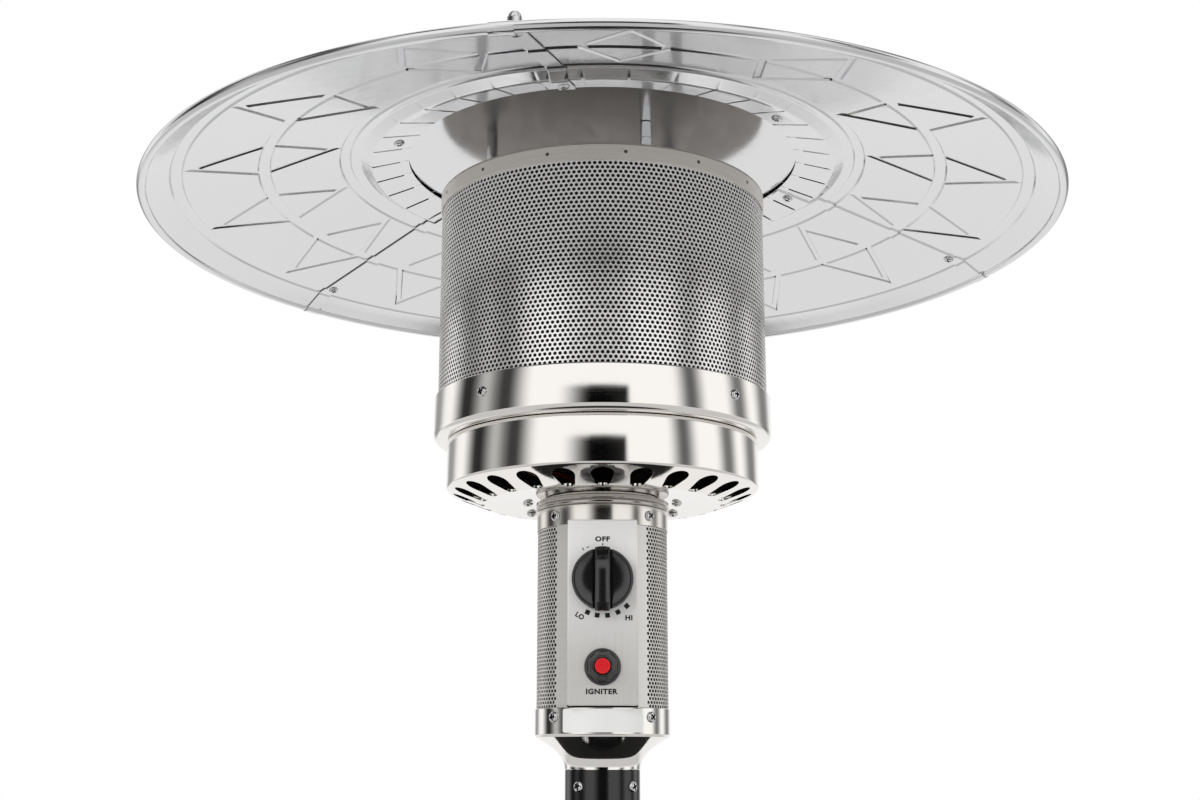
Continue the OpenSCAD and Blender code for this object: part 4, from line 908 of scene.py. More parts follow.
    def panel(self, which: HoodPanel) -> Thing:
        """Presses one panel: trimmed sheet, embossing, joggled lap and rolled bead."""
        node, index, diamonds = which.value
        seam = self.seam_deg + self.sweep_deg * index
        half = self.lap_w / 2
        steps = round(self.sweep_deg + 8)
        mesh = bmesh.new()
        verts = [mesh.verts.new(polar(r, seam - self.spare_deg)) for r in self.radii()]
        row = [mesh.edges.new(pair) for pair in zip(verts, verts[1:])]
        bmesh.ops.spin(mesh, geom=[*verts, *row], cent=(0, 0, 0), axis=(0, 0, -1),
                       angle=math.radians(steps), steps=steps)
        for edge_deg, off, keep in ((seam, -half, "clear_inner"),
                                    (seam + self.sweep_deg, half, "clear_outer")):
            bmesh.ops.bisect_plane(mesh, geom=[*mesh.verts, *mesh.edges, *mesh.faces],
                                   plane_co=leftward(edge_deg) * off,
                                   plane_no=leftward(edge_deg), **{keep: True})
        near = [f for f in mesh.faces
                if abs(turned(bearing(f.calc_center_median())[1], seam)) < 7]
        for off in (half - self.joggle, half):
            near = cut_line(mesh, near, leftward(seam) * off, leftward(seam))
        self.cut_embossing(mesh, diamonds)
        for vert in mesh.verts:
            r, deg = bearing(vert.co)
            vert.co.z = (self.soft_line(r) + self.emboss * self.relief(r, deg, diamonds)
                         + self.rib_deep * self.rib(r, deg)
                         - self.lap_drop * self.lap(vert.co, seam))
        mesh.normal_update()
        bmesh.ops.recalc_face_normals(mesh, faces=mesh.faces)
        if sum(f.normal.z for f in mesh.faces) > 0:
            bmesh.ops.reverse_faces(mesh, faces=mesh.faces)
        bmesh.ops.solidify(mesh, geom=mesh.faces[:], thickness=-self.sheet)
        reach = math.degrees(half / self.outer_r)
        bead, joint = (arc(self.outer_r - r, self.z_bead, r, 0, 345, 23)
                       for r in (self.bead_r, self.sleeve_r))
        rolled = spun(bead, 120, seam - reach, self.sweep_deg)
        for vert in rolled.verts:
            vert.co.z -= self.lap_drop * self.lap(vert.co, seam) * 0.5
        add_to(mesh, rolled)
        add_to(mesh, spun(joint, 6, seam - reach, 2.4 * reach))
        return piece(node, mesh, node, sharp=13)

    def disc(self) -> Thing:
        """Turns the centre disc, flat above the opening and coned to its edge."""
        fall = self.flange_fall * (self.disc_r - self.open_r) / (self.step_in - self.open_r)
        under = [(0.0, self.z_disc), (self.open_r - 3, self.z_disc),
                 (self.open_r, self.z_disc - 0.1), (self.open_r + 3, self.z_disc - 0.8),
                 (self.disc_r, self.z_disc - fall)]
        top = [(r, z + self.sheet) for r, z in reversed(under)]
        return piece("reflector_disc", spun(under + top, 256), "reflector_disc", sharp=40)

    def slope_at(self, r: float, deg: float) -> Vector:
        """Direction square to the underside at a radius, pointing down."""
        rise = self.line(r + 1) - self.line(r)
        return (outward(deg) * rise - Vector((0, 0, 1))).normalized()

    def fasteners(self) -> None:
        """Sets the hood's screws, cap nuts, spacers, studs and wing nuts."""
        inner = [(self.screw_in_r, self.seam_deg + 60 * k) for k in range(6)]
        outer = [(self.screw_out_r, self.seam_deg + 120 * k) for k in range(3)]
        heads, nuts = [], bmesh.new()
        for i, (r, deg) in enumerate(inner + outer):
            down = self.slope_at(r, deg)
            on_lap = i >= 6 or i % 2 == 0
            drop = self.lap_drop if on_lap else 0.0
            place = polar(r, deg, self.line(r))
            heads.append((place + down * (drop + 0.1), down, 20 + 37 * i))
            grip = 2 * self.sheet + self.under_disc if i < 6 else 2 * self.sheet
            add_to(nuts, self.cap_nut(), facing(place - down * (grip + self.seat), -down, 11 * i))
        screws("reflector_screws", "reflector_screws", heads,
               CrossScrew(5.0, 3.0, 1.4, 3.2, 1.7, self.stud_r - 0.1, 3.5))
        piece("reflector_nuts", nuts, "reflector_nuts")
        spacer, stud = span("reflector_spacers"), span("reflector_studs")
        seat = Vector((0, 0, self.z_disc + self.sheet + self.seat))
        groups = {"reflector_spacers": bmesh.new(), "reflector_studs": bmesh.new(),
                  "wing_nuts": bmesh.new()}
        for k in range(3):
            place = polar(self.stud_place_r, self.stud_deg - 120 * k)
            there = Matrix.Translation(place)
            add_to(groups["reflector_spacers"], self.spacer(spacer.low, spacer.high), there)
            add_to(groups["reflector_studs"], self.stud(stud.low, stud.high), there)
            add_to(groups["wing_nuts"], self.wing_nut(),
                   facing(place + seat, Vector((0, 0, 1)), 25 + 50 * k))
        for name, group in groups.items():
            piece(name, group, name)

    def cap_nut(self) -> Mesh:
        """Washer flange, chamfered hexagon and dome over a blind bore."""
        r = self.stud_r
        mesh = spun([(r + 0.3, 0), (r * 2.2, 0), (r * 2.2, r * 0.3), (r * 2.1, r * 0.4),
                     (r + 0.3, r * 0.4)], 36)
        add_to(mesh, hexagon(r * 1.92, r * 2, r * 1.4))
        dome = arc(0, r * 2.3, r * 1.6, -20, 90, 8)
        add_to(mesh, spun([(0, r * 1.6)] + dome, 32))
        return mesh

    def spacer(self, low: float, high: float) -> Mesh:
        """Turned sleeve in two lengths with a fine joint between them."""
        r, bore, joint = 5.0, self.stud_r + 0.3, 0.35
        mid = low + (high - low) * 0.62
        return spun([(bore, low), (r - joint, low), (r, low + joint), (r, mid - joint),
                     (r - joint, mid), (r, mid + joint), (r, high - joint),
                     (r - joint, high), (bore, high)], 48)

    def stud(self, low: float, high: float) -> Mesh:
        """Threaded stud with a hexagon head below."""
        r, head = self.stud_r - 0.05, self.stud_r * 4 / 3
        pitch = 1.0
        thread = [(r - 0.5 * (i % 2), high - i * pitch / 2) for i in range(24)]
        mesh = spun([(0, high)] + thread + [(r, high - 13), (r, low + head), (0, low + head)], 24)
        add_to(mesh, hexagon(self.stud_r * 13 / 6, head, low + head / 2))
        return mesh

    def wing_nut(self) -> Mesh:
        """Stamped wing nut: flange, tapered hub and two rounded wings."""
        r = self.stud_r
        bore = r + 0.3
        mesh = spun([(bore, 0), (r * 3, 0), (r * 3, r * 0.3), (r * 2.9, r * 0.4),
                     (r * 2.2, r * 0.45), (r * 1.9, r * 2.5), (r * 1.7, r * 2.67),
                     (bore, r * 2.67)], 48)
        wing = [(4, 1.2), (10, 3), (16, 12), (17.5, 18), (16.5, 23), (13, 25), (10.5, 21),
                (4, 7.6)]
        scale = r / 3
        for side in (-1, 1):
            blade = pushed([(side * x * scale, -r / 2, z * scale) for x, z in wing], (0, r, 0))
            bevel(blade, blade.edges, 0.8, 2)
            add_to(mesh, blade)
        return mesh

    def build(self) -> None:
        """Builds the whole hood."""
        for which in HoodPanel:
            self.panel(which)
        self.disc()
        self.fasteners()


# Perforated sheet

@dataclass(frozen=True)
class Perforation:
    """Staggered round holes punched in a sheet."""

    pitch: float
    hole: float
    wall: float

    @property
    def row(self) -> float:
        """Distance between rows of holes."""
        return self.pitch * math.sqrt(3) / 2

    def tube(self, radius: float, low: float, high: float, first: int, count: int,
             around: int, start_deg: float) -> Mesh:
        """Punches a sheet and rolls it round the axis.

        Args:
            radius: Outer radius of the tube.
            low: Lower edge of the sheet.
            high: Upper edge.
            first: Number of the first column of holes.
            count: Columns of holes in this part.
            around: Columns in a full turn.
            start_deg: Angle left of the front of column 0.

        Returns:
            A closed mesh in millimetres.
        """
        rows = int((high - low) / self.row / 2) * 2
        base = (low + high - (rows - 1) * self.row) / 2
        mesh = bmesh.new()
        bmesh.ops.create_circle(mesh, cap_ends=True, segments=6,
                                radius=self.pitch / math.sqrt(3))
        bmesh.ops.inset_individual(mesh, faces=mesh.faces[:],
                                   thickness=(self.pitch - self.hole) / 2)
        mesh.faces.ensure_lookup_table()
        inner = max(mesh.faces, key=lambda f: -f.calc_center_median().length)
        bmesh.ops.delete(mesh, geom=[inner], context="FACES_ONLY")
        both = bmesh.ops.duplicate(mesh, geom=mesh.faces[:])["geom"]
        bmesh.ops.translate(mesh, vec=(self.pitch / 2, self.row, 0), verts=points_in(both))
        tiled(mesh, Vector((self.pitch, 0, 0)), count)
        tiled(mesh, Vector((0, 2 * self.row, 0)), rows // 2)
        turn = FULL_TURN / around
        for vert in mesh.verts:
            deg = start_deg + (first + vert.co.x / self.pitch) * turn
            vert.co = polar(radius, deg, base + vert.co.y)
        mesh.normal_update()
        return mesh

    def drawn_out(self, mesh: Mesh,
                  near: Callable[[bmesh.types.BMEdge], bool]) -> list[bmesh.types.BMVert]:
        """Extrudes the sheet's own edges that pass a test, and not the holes' shorter ones.

        Args:
            mesh: The sheet.
            near: The test, which takes an edge.

        Returns:
            The new edge's points, still where they started.
        """
        between = (self.pitch + self.hole) / 2 / math.sqrt(3)
        rim = [e for e in mesh.edges if e.is_boundary and e.calc_length() > between and near(e)]
        return points_in(bmesh.ops.extrude_edge_only(mesh, edges=rim)["geom"])

    def hem(self, mesh: Mesh, low: float, high: float) -> None:
        """Draws the sheet's zigzag upper and lower edges out to straight plain hems."""
        for level, pick in ((low, min), (high, max)):
            limit = pick(v.co.z for v in mesh.verts)
            for vert in self.drawn_out(mesh, lambda e: all(
                    abs(v.co.z - limit) < self.row * 0.55 for v in e.verts)):
                vert.co.z = level
        mesh.normal_update()

    def side_strips(self, mesh: Mesh, radius: float, edge_deg: float) -> None:
        """Draws the sheet's upright edges out to plain strips that end at an angle."""
        column = math.degrees(self.pitch / radius)
        for side in (-1, 1):
            reach = [abs(turned(bearing(v.co)[1], 0.0)) for v in mesh.verts
                     if turned(bearing(v.co)[1], 0.0) * side > 0]
            limit = min(reach) + 0.8 * column
            for vert in self.drawn_out(mesh, lambda e: all(
                    0 < turned(bearing(v.co)[1], 0.0) * side < limit for v in e.verts)
                    and abs(e.verts[0].co.z - e.verts[1].co.z) > 0.2):
                vert.co = polar(radius, side * edge_deg, vert.co.z)
        mesh.normal_update()

    def face_out(self, mesh: Mesh) -> None:
        """Points the sheet's faces outwards."""
        bmesh.ops.recalc_face_normals(mesh, faces=mesh.faces)
        if sum(f.normal.dot(f.calc_center_median().xy.to_3d()) for f in mesh.faces) < 0:
            bmesh.ops.reverse_faces(mesh, faces=mesh.faces)

    def thicken(self, sheet: Thing) -> None:
        """Gives the sheet its wall inwards, with crisp edges round the holes."""
        mesh = bmesh.new()
        mesh.from_mesh(sheet.data)
        for edge in mesh.edges:
            edge.smooth = edge.smooth and not edge.is_boundary
        mesh.to_mesh(sheet.data)
        mesh.free()
        wall = sheet.modifiers.new("wall", "SOLIDIFY")
        wall.thickness, wall.offset = self.wall * MM, -1.0


# Emitter and burner head

@dataclass
class EmitterHead:
    """Perforated emitter with its band and lid, over the head ring and the burner pan."""

    perforation: Perforation = Perforation(4.3, 2.65, 0.8)
    lid_wall: float = 1.0
    band_wall: float = 0.9
    weld_pitch: float = 25.7
    weld_deg: float = -7.5
    ring_corner: float = 6.0
    pan_corner: float = 3.0
    pan_flat: float = 58.0
    cone_r: float = 104.0
    pan_fall: float = 5.0
    cone_h: float = 11.5
    cone_turn: float = 28.0
    sheet: float = 1.0
    floor_r: float = 118.0
    slots: int = 24
    slot_in: float = 102.5
    slot_out: float = 130.0
    slot_wide: float = 9.3
    slot_narrow: float = 6.0
    neck_hole: float = 30.0
    screw_up: float = 22.0
    screw_degs: tuple = (41.5, 134.0, 225.5, 312.8)
    pan_screws: tuple = ((-65.2, 10.0), (65.2, 10.0), (-63.9, 56.0), (63.9, 56.0))
    plain_low: float = 22.0
    plain_high: float = 6.0
    lip_h: float = 2.2
    lip_t: float = 0.7

    def screen(self) -> None:
        """Rolls the emitter's screen in two halves."""
        node = span("emitter_screen")
        around = 2 * round(math.pi * node.radius / self.perforation.pitch)
        for name, first in (("emitter_screen", 0), ("emitter_screen_back", around // 2)):
            mesh = self.perforation.tube(node.radius, node.low + self.plain_low,
                                         node.high - self.plain_high, first, around // 2,
                                         around, -90)
            self.perforation.hem(mesh, node.low, node.high)
            self.perforation.face_out(mesh)
            self.perforation.thicken(piece(name, mesh, "emitter_screen", finish=EMITTER_MESH))
        # A dark lining inside the screen, painted shade for the tube's shaded inside
        inner = node.radius - 2 * self.perforation.wall
        shade_sheet = sleeve(inner - 0.3, inner, node.low + 2, span("emitter_lid").low - 2)
        piece("emitter_gauze", spun(shade_sheet, 128), finish=SHADE_LINING)

    def top(self) -> None:
        """Turns the top band, its weld spots and the lid."""
        band, lid = span("emitter_top_band"), span("emitter_lid")
        r = band.radius
        line = sleeve(r - self.band_wall, r, band.low, band.high, 0.3)
        piece("emitter_top_band", spun(line, 256), "emitter_top_band")
        welds = bmesh.new()
        for k in range(int(FULL_TURN / self.weld_pitch)):
            deg = self.weld_deg + k * self.weld_pitch
            dot = spun([(0, 0), (1.6, 0), (1.5, 0.08), (0.9, 0.12), (0, 0.1)], 16)
            add_to(welds, dot, facing(polar(r - 0.02, deg, band.middle + 0.5), outward(deg)))
        piece("weld_spots", welds, finish=WELD_OXIDE)
        low, high = lid.high - self.lid_wall, lid.high
        skirt = span("emitter_screen").radius - self.perforation.wall - 0.3
        under = [(0.0, low), (skirt - self.lid_wall, low), (skirt - self.lid_wall, lid.low),
                 (skirt, lid.low), (skirt, low), (r - 0.4, low), (r, low + 0.4),
                 (r, high - 0.3), (r - 0.3, high), (0.0, high)]
        piece("emitter_lid", spun(under, 256), "emitter_lid", finish=TINTED_STEEL)

    def ring(self) -> None:
        """Spins the head ring: wall, rounded lower corner, floor and turned lip."""
        node, screen = span("head_ring"), span("emitter_screen").radius
        r, c, t = node.radius, self.ring_corner, self.sheet
        lip = 1.2
        line = [(self.floor_r, node.low)]
        line += arc(r - c, node.low + c, c, -90, 0, 10)
        line += arc(r - lip, node.high - lip, lip, 0, 90, 4)
        line += [(screen + 0.3, node.high)]
        piece("head_ring", spun(walled(line, t), 256), "head_ring")

    def pan(self) -> None:
        """Spins the burner pan and punches its ring of drop-shaped slots."""
        node = span("burner_pan")
        r, c, t = node.radius, self.pan_corner, self.sheet
        line = [(self.neck_hole, node.low + self.pan_fall)]
        line += [(x, self.under(x)) for x in (self.pan_flat - 3, self.pan_flat + 3)]
        line += [(x, self.under(x) + lift) for x, lift in
                 ((self.cone_r - 3, 0), (self.cone_r - 1, 0.15), (self.cone_r + 1, 0.15),
                  (self.cone_r + 3, 0))]
        line += arc(r - c, node.low + self.cone_h + c, c, self.cone_turn - 90, 0, 7)
        line += arc(r - 1.5, node.high - 1.5, 1.5, 0, 90, 4)
        line += [(self.floor_r + 4, node.high)]
        mesh = spun(walled(line, t), 256)
        slots, lips = bmesh.new(), bmesh.new()
        for k in range(self.slots):
            turn = about_z(k * FULL_TURN / self.slots)
            add_to(slots, self.slot(node.low - 1, self.cone_h + self.pan_corner), turn)
            add_to(lips, self.lip(), turn)
        mesh = carved(mesh, slots)
        add_to(mesh, lips)
        made = piece("burner_pan", mesh, "burner_pan", sharp=28)
        # Faces turned inwards take the second material, painted shade for the pan's inside
        made.data.materials.append(PAN_INSIDE_SHADE.material())
        for face in made.data.polygons:
            out = face.center.xy.normalized().to_3d() - Vector((0, 0, 1))
            face.material_index = int(face.normal.dot(out) < -0.5)

    def under(self, r: float) -> float:
        """Height of the pan's underside at a radius."""
        low = span("burner_pan").low
        if r < self.cone_r:
            share = (r - self.pan_flat) / (self.cone_r - self.pan_flat)
            return low + self.pan_fall * (1 - max(share, 0.0))
        edge = span("burner_pan").radius - self.pan_corner
        return low + self.cone_h * (r - self.cone_r) / (edge - self.cone_r)

    def slot(self, low: float, height: float) -> Mesh:
        """Punch of one slot: a drop with its wide end outwards, at the front."""
        wide, narrow = self.slot_wide, self.slot_narrow
        out_y, in_y = self.slot_out - wide, self.slot_in + narrow
        lean = math.degrees(math.asin((wide - narrow) / (out_y - in_y)))
        outline = arc(0, out_y, wide, -lean, 180 + lean, 14)
        outline += arc(0, in_y, narrow, 180 + lean, 360 - lean, 10)
        return pushed([(x, -y, low) for x, y in outline], (0, 0, height))

    def lip(self) -> Mesh:
        """Lip of one slot: the sheet turned up round the opening."""
        mesh = self.slot(0, self.lip_h)
        for vert in mesh.verts:
            vert.co.z += self.under(bearing(vert.co)[0]) + 0.1
        mesh.normal_update()
        flat = [f for f in mesh.faces if abs(f.normal.z) > 0.7]
        bmesh.ops.delete(mesh, geom=flat, context="FACES_ONLY")
        bmesh.ops.solidify(mesh, geom=mesh.faces[:], thickness=-self.lip_t)
        bmesh.ops.recalc_face_normals(mesh, faces=mesh.faces)
        return mesh

    def fasteners(self) -> None:
        """Sets the ring's screws and the pan's screws."""
        ring = span("head_ring")
        places = [(polar(ring.radius + 0.05, deg, ring.low + self.screw_up), outward(deg),
                   15 + 25 * k) for k, deg in enumerate(self.screw_degs)]
        for i, (x, y) in enumerate(self.pan_screws):
            seat = self.under(math.hypot(x, y)) - 0.2
            places.append((Vector((x, y, seat)), Vector((0, 0, -1)), 30 * i))
        screws("head_screws", "head_screws", places, CrossScrew())

    def build(self) -> None:
        """Builds the whole head."""
        for step in (self.screen, self.top, self.ring, self.pan, self.fasteners):
            step()


# Control housing

@dataclass
class ControlHousing:
    """Perforated housing with its bands and cup, the panel and the label's plate."""

    perforation: Perforation = Perforation(3.6, 2.45, 0.8)
    collar_edge: float = 1.6
    neck_r: float = 50.0
    neck_h: float = 2.7
    neck_hole: float = 30.0
    band_wall: float = 0.6
    cup_wall_h: float = 22.0
    cup_flare_h: float = 26.0
    cup_t: float = 1.2
    flare: float = 2.1
    panel_edge: float = 1.3
    panel_corner: float = 1.6
    plain_low: float = 12.0
    plain_high: float = 8.0
    band_screw_down: float = 8.25
    cup_screw_down: float = 7.5
    open_deg: float = 42.0
    strip_deg: float = 31.4
    screw_deg: float = 44.0
    label_deg: float = 34.3
    label_corner: float = 1.6

    def collar(self) -> None:
        """Turns the neck collar: two rounded beads with a groove between them."""
        node = span("neck_collar")
        shell = span("housing_shell").radius - 1.1
        top, rim = node.high - self.neck_h, node.low + 14
        mid, r, c = (top + rim) / 2, node.radius, self.collar_edge
        line = [(shell, node.low), (shell, rim)]
        line += arc(r - c, rim + c, c, -90, 0, 5)
        line += [(r, mid - 1.2), (r - 1.0, mid), (r, mid + 1.2)]
        line += arc(r - c, top - c, c, 0, 90, 5)
        line += [(self.neck_r, top), (self.neck_r, node.high - 0.4),
                 (self.neck_r - 0.4, node.high), (self.neck_hole, node.high)]
        # The collar's darker colour is a painted reflection of the black post
        piece("neck_collar", spun(walled(line, 1.4), 192), "neck_collar", finish=REFLECTION_DARKENED_STEEL)

    def shell(self) -> None:
        """Rolls the perforated shell, with plain edges beside the panel."""
        node = span("housing_shell")
        around = round(2 * math.pi * node.radius / self.perforation.pitch)
        turn = FULL_TURN / around
        first = math.ceil(self.open_deg / turn)
        count = around - 2 * first + 1
        mesh = self.perforation.tube(node.radius, node.low + self.plain_low,
                                     node.high - self.plain_high, first, count, around, 0)
        self.perforation.hem(mesh, node.low, node.high)
        self.perforation.side_strips(mesh, node.radius, self.strip_deg)
        self.perforation.face_out(mesh)
        self.perforation.thicken(piece("housing_shell", mesh, "housing_shell"))
        # A dark lining inside the shell, painted shade for the housing's shaded inside
        inner, low = node.radius - 2 * self.perforation.wall, span("housing_cup").high + 1
        shade_sheet = sleeve(inner - 0.3, inner, low, span("neck_collar").low - 1)
        piece("housing_gauze", spun(shade_sheet, 96, self.strip_deg, FULL_TURN - 2 * self.strip_deg),
              finish=SHADE_LINING)

    def band(self) -> None:
        """Turns the housing's top band, open behind the panel's head."""
        node = span("housing_top_band")
        panel = span("control_panel")
        r, wall = node.radius, self.band_wall
        line = [(r - wall, node.low), (r - 0.2, node.low), (r, node.low + 0.2),
                (r, node.high - 0.5), (r - 0.5, node.high), (r - 3, node.high),
                (r - 3, node.high - 1), (r - wall, node.high - 1)]
        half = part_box("control_panel")[1].x / MM + 0.3
        mesh = carved(spun(line, 192), block((-half, -r - 5, node.low - 2),
                                             (half, -r * 0.5, panel.high + 0.3)))
        piece("housing_top_band", mesh, "housing_top_band", finish=HALF_MATT, sharp=35)

    def cup(self) -> None:
        """Spins the cup that flares from the post out to the housing."""
        node = span("housing_cup")
        post = span("post").radius
        r, t = node.radius, self.cup_t
        neck_z = span("post").high + 0.3
        wall_z = node.high - self.cup_wall_h
        steps = 16
        line = [(post - 1.8, node.low), (post - 1.8, neck_z)]
        for i in range(steps + 1):
            k = i / steps
            line.append((post + 0.3 + (r - 1.2 - post - 0.3) * k ** self.flare,
                         neck_z + self.cup_flare_h * k))
        line += arc(r - 1.2, wall_z + 1.2, 1.2, -50, 0, 3)
        line += [(r, node.high - 0.4), (r - 0.4, node.high)]
        piece("housing_cup", spun(walled(line, t), 192), "housing_cup")

    def label(self) -> None:
        """Lays the blank label on the cup, with rounded corners."""
        node, cup = span("label_plate"), span("housing_cup").radius
        mesh = spun(sleeve(cup + 0.12, cup + 0.3, node.low, node.high), 48, -self.label_deg,
                    2 * self.label_deg)
        corners = [e for e in mesh.edges if e.calc_length() < 0.25 and all(
                   abs(abs(bearing(v.co)[1]) - self.label_deg) < 0.1 for v in e.verts)]
        bevel(mesh, corners, self.label_corner, 4)
        piece("label_plate", mesh, "label_plate")

    def panel(self) -> None:
        """Folds the panel: flat face, rounded edges and side walls that meet the shell."""
        lo, hi = (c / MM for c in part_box("control_panel"))
        mesh = block((lo.x, lo.y, lo.z), (hi.x, hi.y, hi.z))
        depth = [e for e in mesh.edges if abs(e.verts[0].co.y - e.verts[1].co.y) > 1]
        bevel(mesh, depth, self.panel_corner, 6)
        face = [e for e in mesh.edges if all(abs(v.co.y - lo.y) < 0.01 for v in e.verts)]
        bevel(mesh, face, self.panel_edge, 4)
        core = spun(sleeve(0, span("housing_shell").radius + 0.3, lo.z - 5, hi.z + 5), 128)
        piece("control_panel", carved(mesh, core), "control_panel", sharp=25)

    def fasteners(self) -> None:
        """Sets the screws of the top band and of the cup."""
        band, cup = span("housing_top_band"), span("housing_cup")
        places = []
        for k, deg in enumerate((self.screw_deg, -self.screw_deg, 180 + self.screw_deg,
                                 180 - self.screw_deg)):
            for node, z in ((band, band.high - self.band_screw_down),
                            (cup, cup.high - self.cup_screw_down)):
                places.append((polar(node.radius + 0.05, deg, z), outward(deg), 10 + 33 * k))
        screws("housing_screws", "housing_screws", places, CrossScrew())

    def build(self) -> None:
        """Builds the whole housing."""
        for step in (self.collar, self.shell, self.band, self.cup, self.label, self.panel,
                     self.fasteners):
            step()


# Controls

def lettering(text: str, width: float, height: float) -> Mesh:
    """Draws bold text as thin solid letters.

    Args:
        text: The letters.
        width: Width of the whole text.
        height: Height of its capitals.

    Returns:
        A mesh on z = 0, centred, upright along +Y.
    """
    curve = bpy.data.curves.new("lettering", "FONT")
    curve.body = text
    curve.offset = 0.047
    curve.extrude = 0.01
    curve.space_character = 1.12
    holder = linked("lettering", curve)
    seen = holder.evaluated_get(bpy.context.evaluated_depsgraph_get())
    mesh = bmesh.new()
    mesh.from_mesh(seen.to_mesh())
    bpy.data.objects.remove(holder)
    bpy.data.curves.remove(curve)
    xs, ys, zs = zip(*(v.co for v in mesh.verts))
    middle = Vector((max(xs) + min(xs), max(ys) + min(ys), max(zs) + min(zs))) / 2
    bmesh.ops.translate(mesh, vec=-middle, verts=mesh.verts)
    bmesh.ops.scale(mesh, vec=(width / (max(xs) - min(xs)), height / (max(ys) - min(ys)), 1.0),
                    verts=mesh.verts)
    return mesh


@dataclass
class Controls:
    """Knob, igniter bezel and button, and the panel's printed marks."""

    chamfer: float = 2.0
    bar_w: float = 12.4
    bar_slope_top: float = 12.0
    bar_slope_low: float = 5.0
    bar_crown: float = 1.3
    groove_w: float = 1.9
    groove_deep: float = 3.5
    bezel_foot: float = 2.5
    bezel_play: float = 0.35
    button_edge: float = 1.0
    mark_r: float = 29.1
    mark_size: float = 3.9
    mark_degs: tuple = (25.0, 8.7, -8.0, -25.7, -43.0)
    ink: float = 0.05
    knob_rim: float = 25.25
    grip_h: float = 9.0

    def __post_init__(self) -> None:
        """Reads where the knob, the button and the panel stand."""
        lo, hi = (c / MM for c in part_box("control_knob"))
        self.knob_z = lo.z + self.knob_rim + 1.0
        self.knob_back, self.knob_front = hi.y, lo.y
        lo, hi = (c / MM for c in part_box("igniter_button"))
        self.button_z, self.button_r = (lo.z + hi.z) / 2, hi.x
        self.button_front, self.button_back = lo.y, hi.y
        self.panel_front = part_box("control_panel")[0].y / MM

    def at(self, x: float, z: float, y: float) -> Matrix:
        """Matrix that faces a shape to the front at a place."""
        return facing(Vector((x, y, z)), Vector((0, -1, 0)))

    def knob(self) -> None:
        """Moulds the knob: a chamfered disc, two grooves and a grip bar with sloped ends."""
        r = self.knob_rim
        face = self.knob_back - self.knob_front - self.grip_h
        c = self.chamfer
        rim = [(0, 0), (r - 0.4, 0), (r, 0.4)] + arc(r - c, face - c, c, 0, 90, 5)
        disc = spun(rim + [(r - c - 1.2, face), (r - c - 1.8, face - 0.45),
                           (self.bar_w, face - 0.55), (0, face - 0.55)], 128)
        grooves = bmesh.new()
        for side in (-1, 1):
            x = side * (self.bar_w + self.groove_w) / 2
            add_to(grooves, block((x - self.groove_w / 2, -r - 2, face - self.groove_deep - 0.9),
                                  (x + self.groove_w / 2, r + 2, face + 3)))
        mesh = carved(disc, grooves)
        add_to(mesh, self.bar(face))
        piece("control_knob", placed(mesh, self.at(0, self.knob_z, self.knob_back)),
              "control_knob", sharp=40)

    def bar(self, face: float) -> Mesh:
        """Grip bar: long block, waisted, with its top drawn down to the rim at both ends."""
        r, w = self.knob_rim, self.bar_w
        mesh = block((-w / 2, -r - 1.0, 1.0), (w / 2, r + 1.5, face + self.grip_h))
        rows = (-r + 1, -r + self.bar_slope_low, -15, -5, 5, r - self.bar_slope_top, r - 5, r)
        lines = (-5.6, -4.6, -3.0, 0.0, 3.0, 4.6, 5.6)
        for point in [(0, y, 0) for y in rows] + [(x, 0, 0) for x in lines]:
            way = (0, 1, 0) if point[1] else (1, 0, 0)
            bmesh.ops.bisect_plane(mesh, geom=[*mesh.verts, *mesh.edges, *mesh.faces],
                                   plane_co=point, plane_no=way)
        mesh = carved(mesh, spun(sleeve(r + 0.9, r + 9, 0, face + 12), 96))
        for vert in mesh.verts:
            y = vert.co.y
            if vert.co.z > face:
                vert.co.z -= self.bar_crown * abs(2 * vert.co.x / w) ** 3
            vert.co.x *= 1 - 0.07 * math.cos(y / r * math.pi / 2)
            if vert.co.z > face:
                top = max(y - (r - self.bar_slope_top), 0) / self.bar_slope_top
                low = max(-y - (r - self.bar_slope_low), 0) / self.bar_slope_low
                vert.co.z -= (self.grip_h + 0.5) * min(max(top ** 1.3, low), 1)
        edges = [e for e in mesh.edges if e.calc_face_angle(0) > math.radians(30)
                 and max(v.co.z for v in e.verts) > face - 1]
        bmesh.ops.bevel(mesh, geom=edges, offset=1.0, segments=4, profile=0.5, affect="EDGES",
                        material=-1, clamp_overlap=True)
        return mesh

    def igniter(self) -> None:
        """Moulds the eight-sided bezel round the red button."""
        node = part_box("igniter_bezel")
        r, front = node[1].x / MM, node[0].y / MM
        height = self.panel_front - front
        foot, top = self.bezel_foot, self.button_r + 2.4
        mesh = spun([(self.button_r + 1, 0), (r - 0.4, 0), (r, 0.4), (r, foot - 1.0),
                     (r - 1.0, foot), (self.button_r + 1, foot)], 96)
        cone = bmesh.new()
        bmesh.ops.create_cone(cone, cap_ends=True, segments=8, radius1=r - 0.2, radius2=top,
                              depth=height - 1,
                              matrix=Matrix.Translation((0, 0, (height + 1) / 2))
                              @ about_z(FULL_TURN / 16))
        bevel(cone, cone.edges, 0.8, 4)
        bore = self.button_r + self.bezel_play
        add_to(mesh, carved(cone, spun(sleeve(0, bore, -1, height + 1), 64)))
        matrix = self.at(0, self.button_z, self.panel_front)
        piece("igniter_bezel", placed(mesh, matrix), "igniter_bezel", sharp=50)
        h, e, b = self.button_back - self.button_front, self.button_edge, self.button_r
        button = spun([(0, 0), (b, 0)] + arc(b - e, h - e, e, 0, 90, 5)
                      + [(b * 0.6, h - 0.05), (0, h - 0.15)], 64)
        piece("igniter_button", placed(button, self.at(0, self.button_z, self.button_back)),
              "igniter_button", sharp=50)

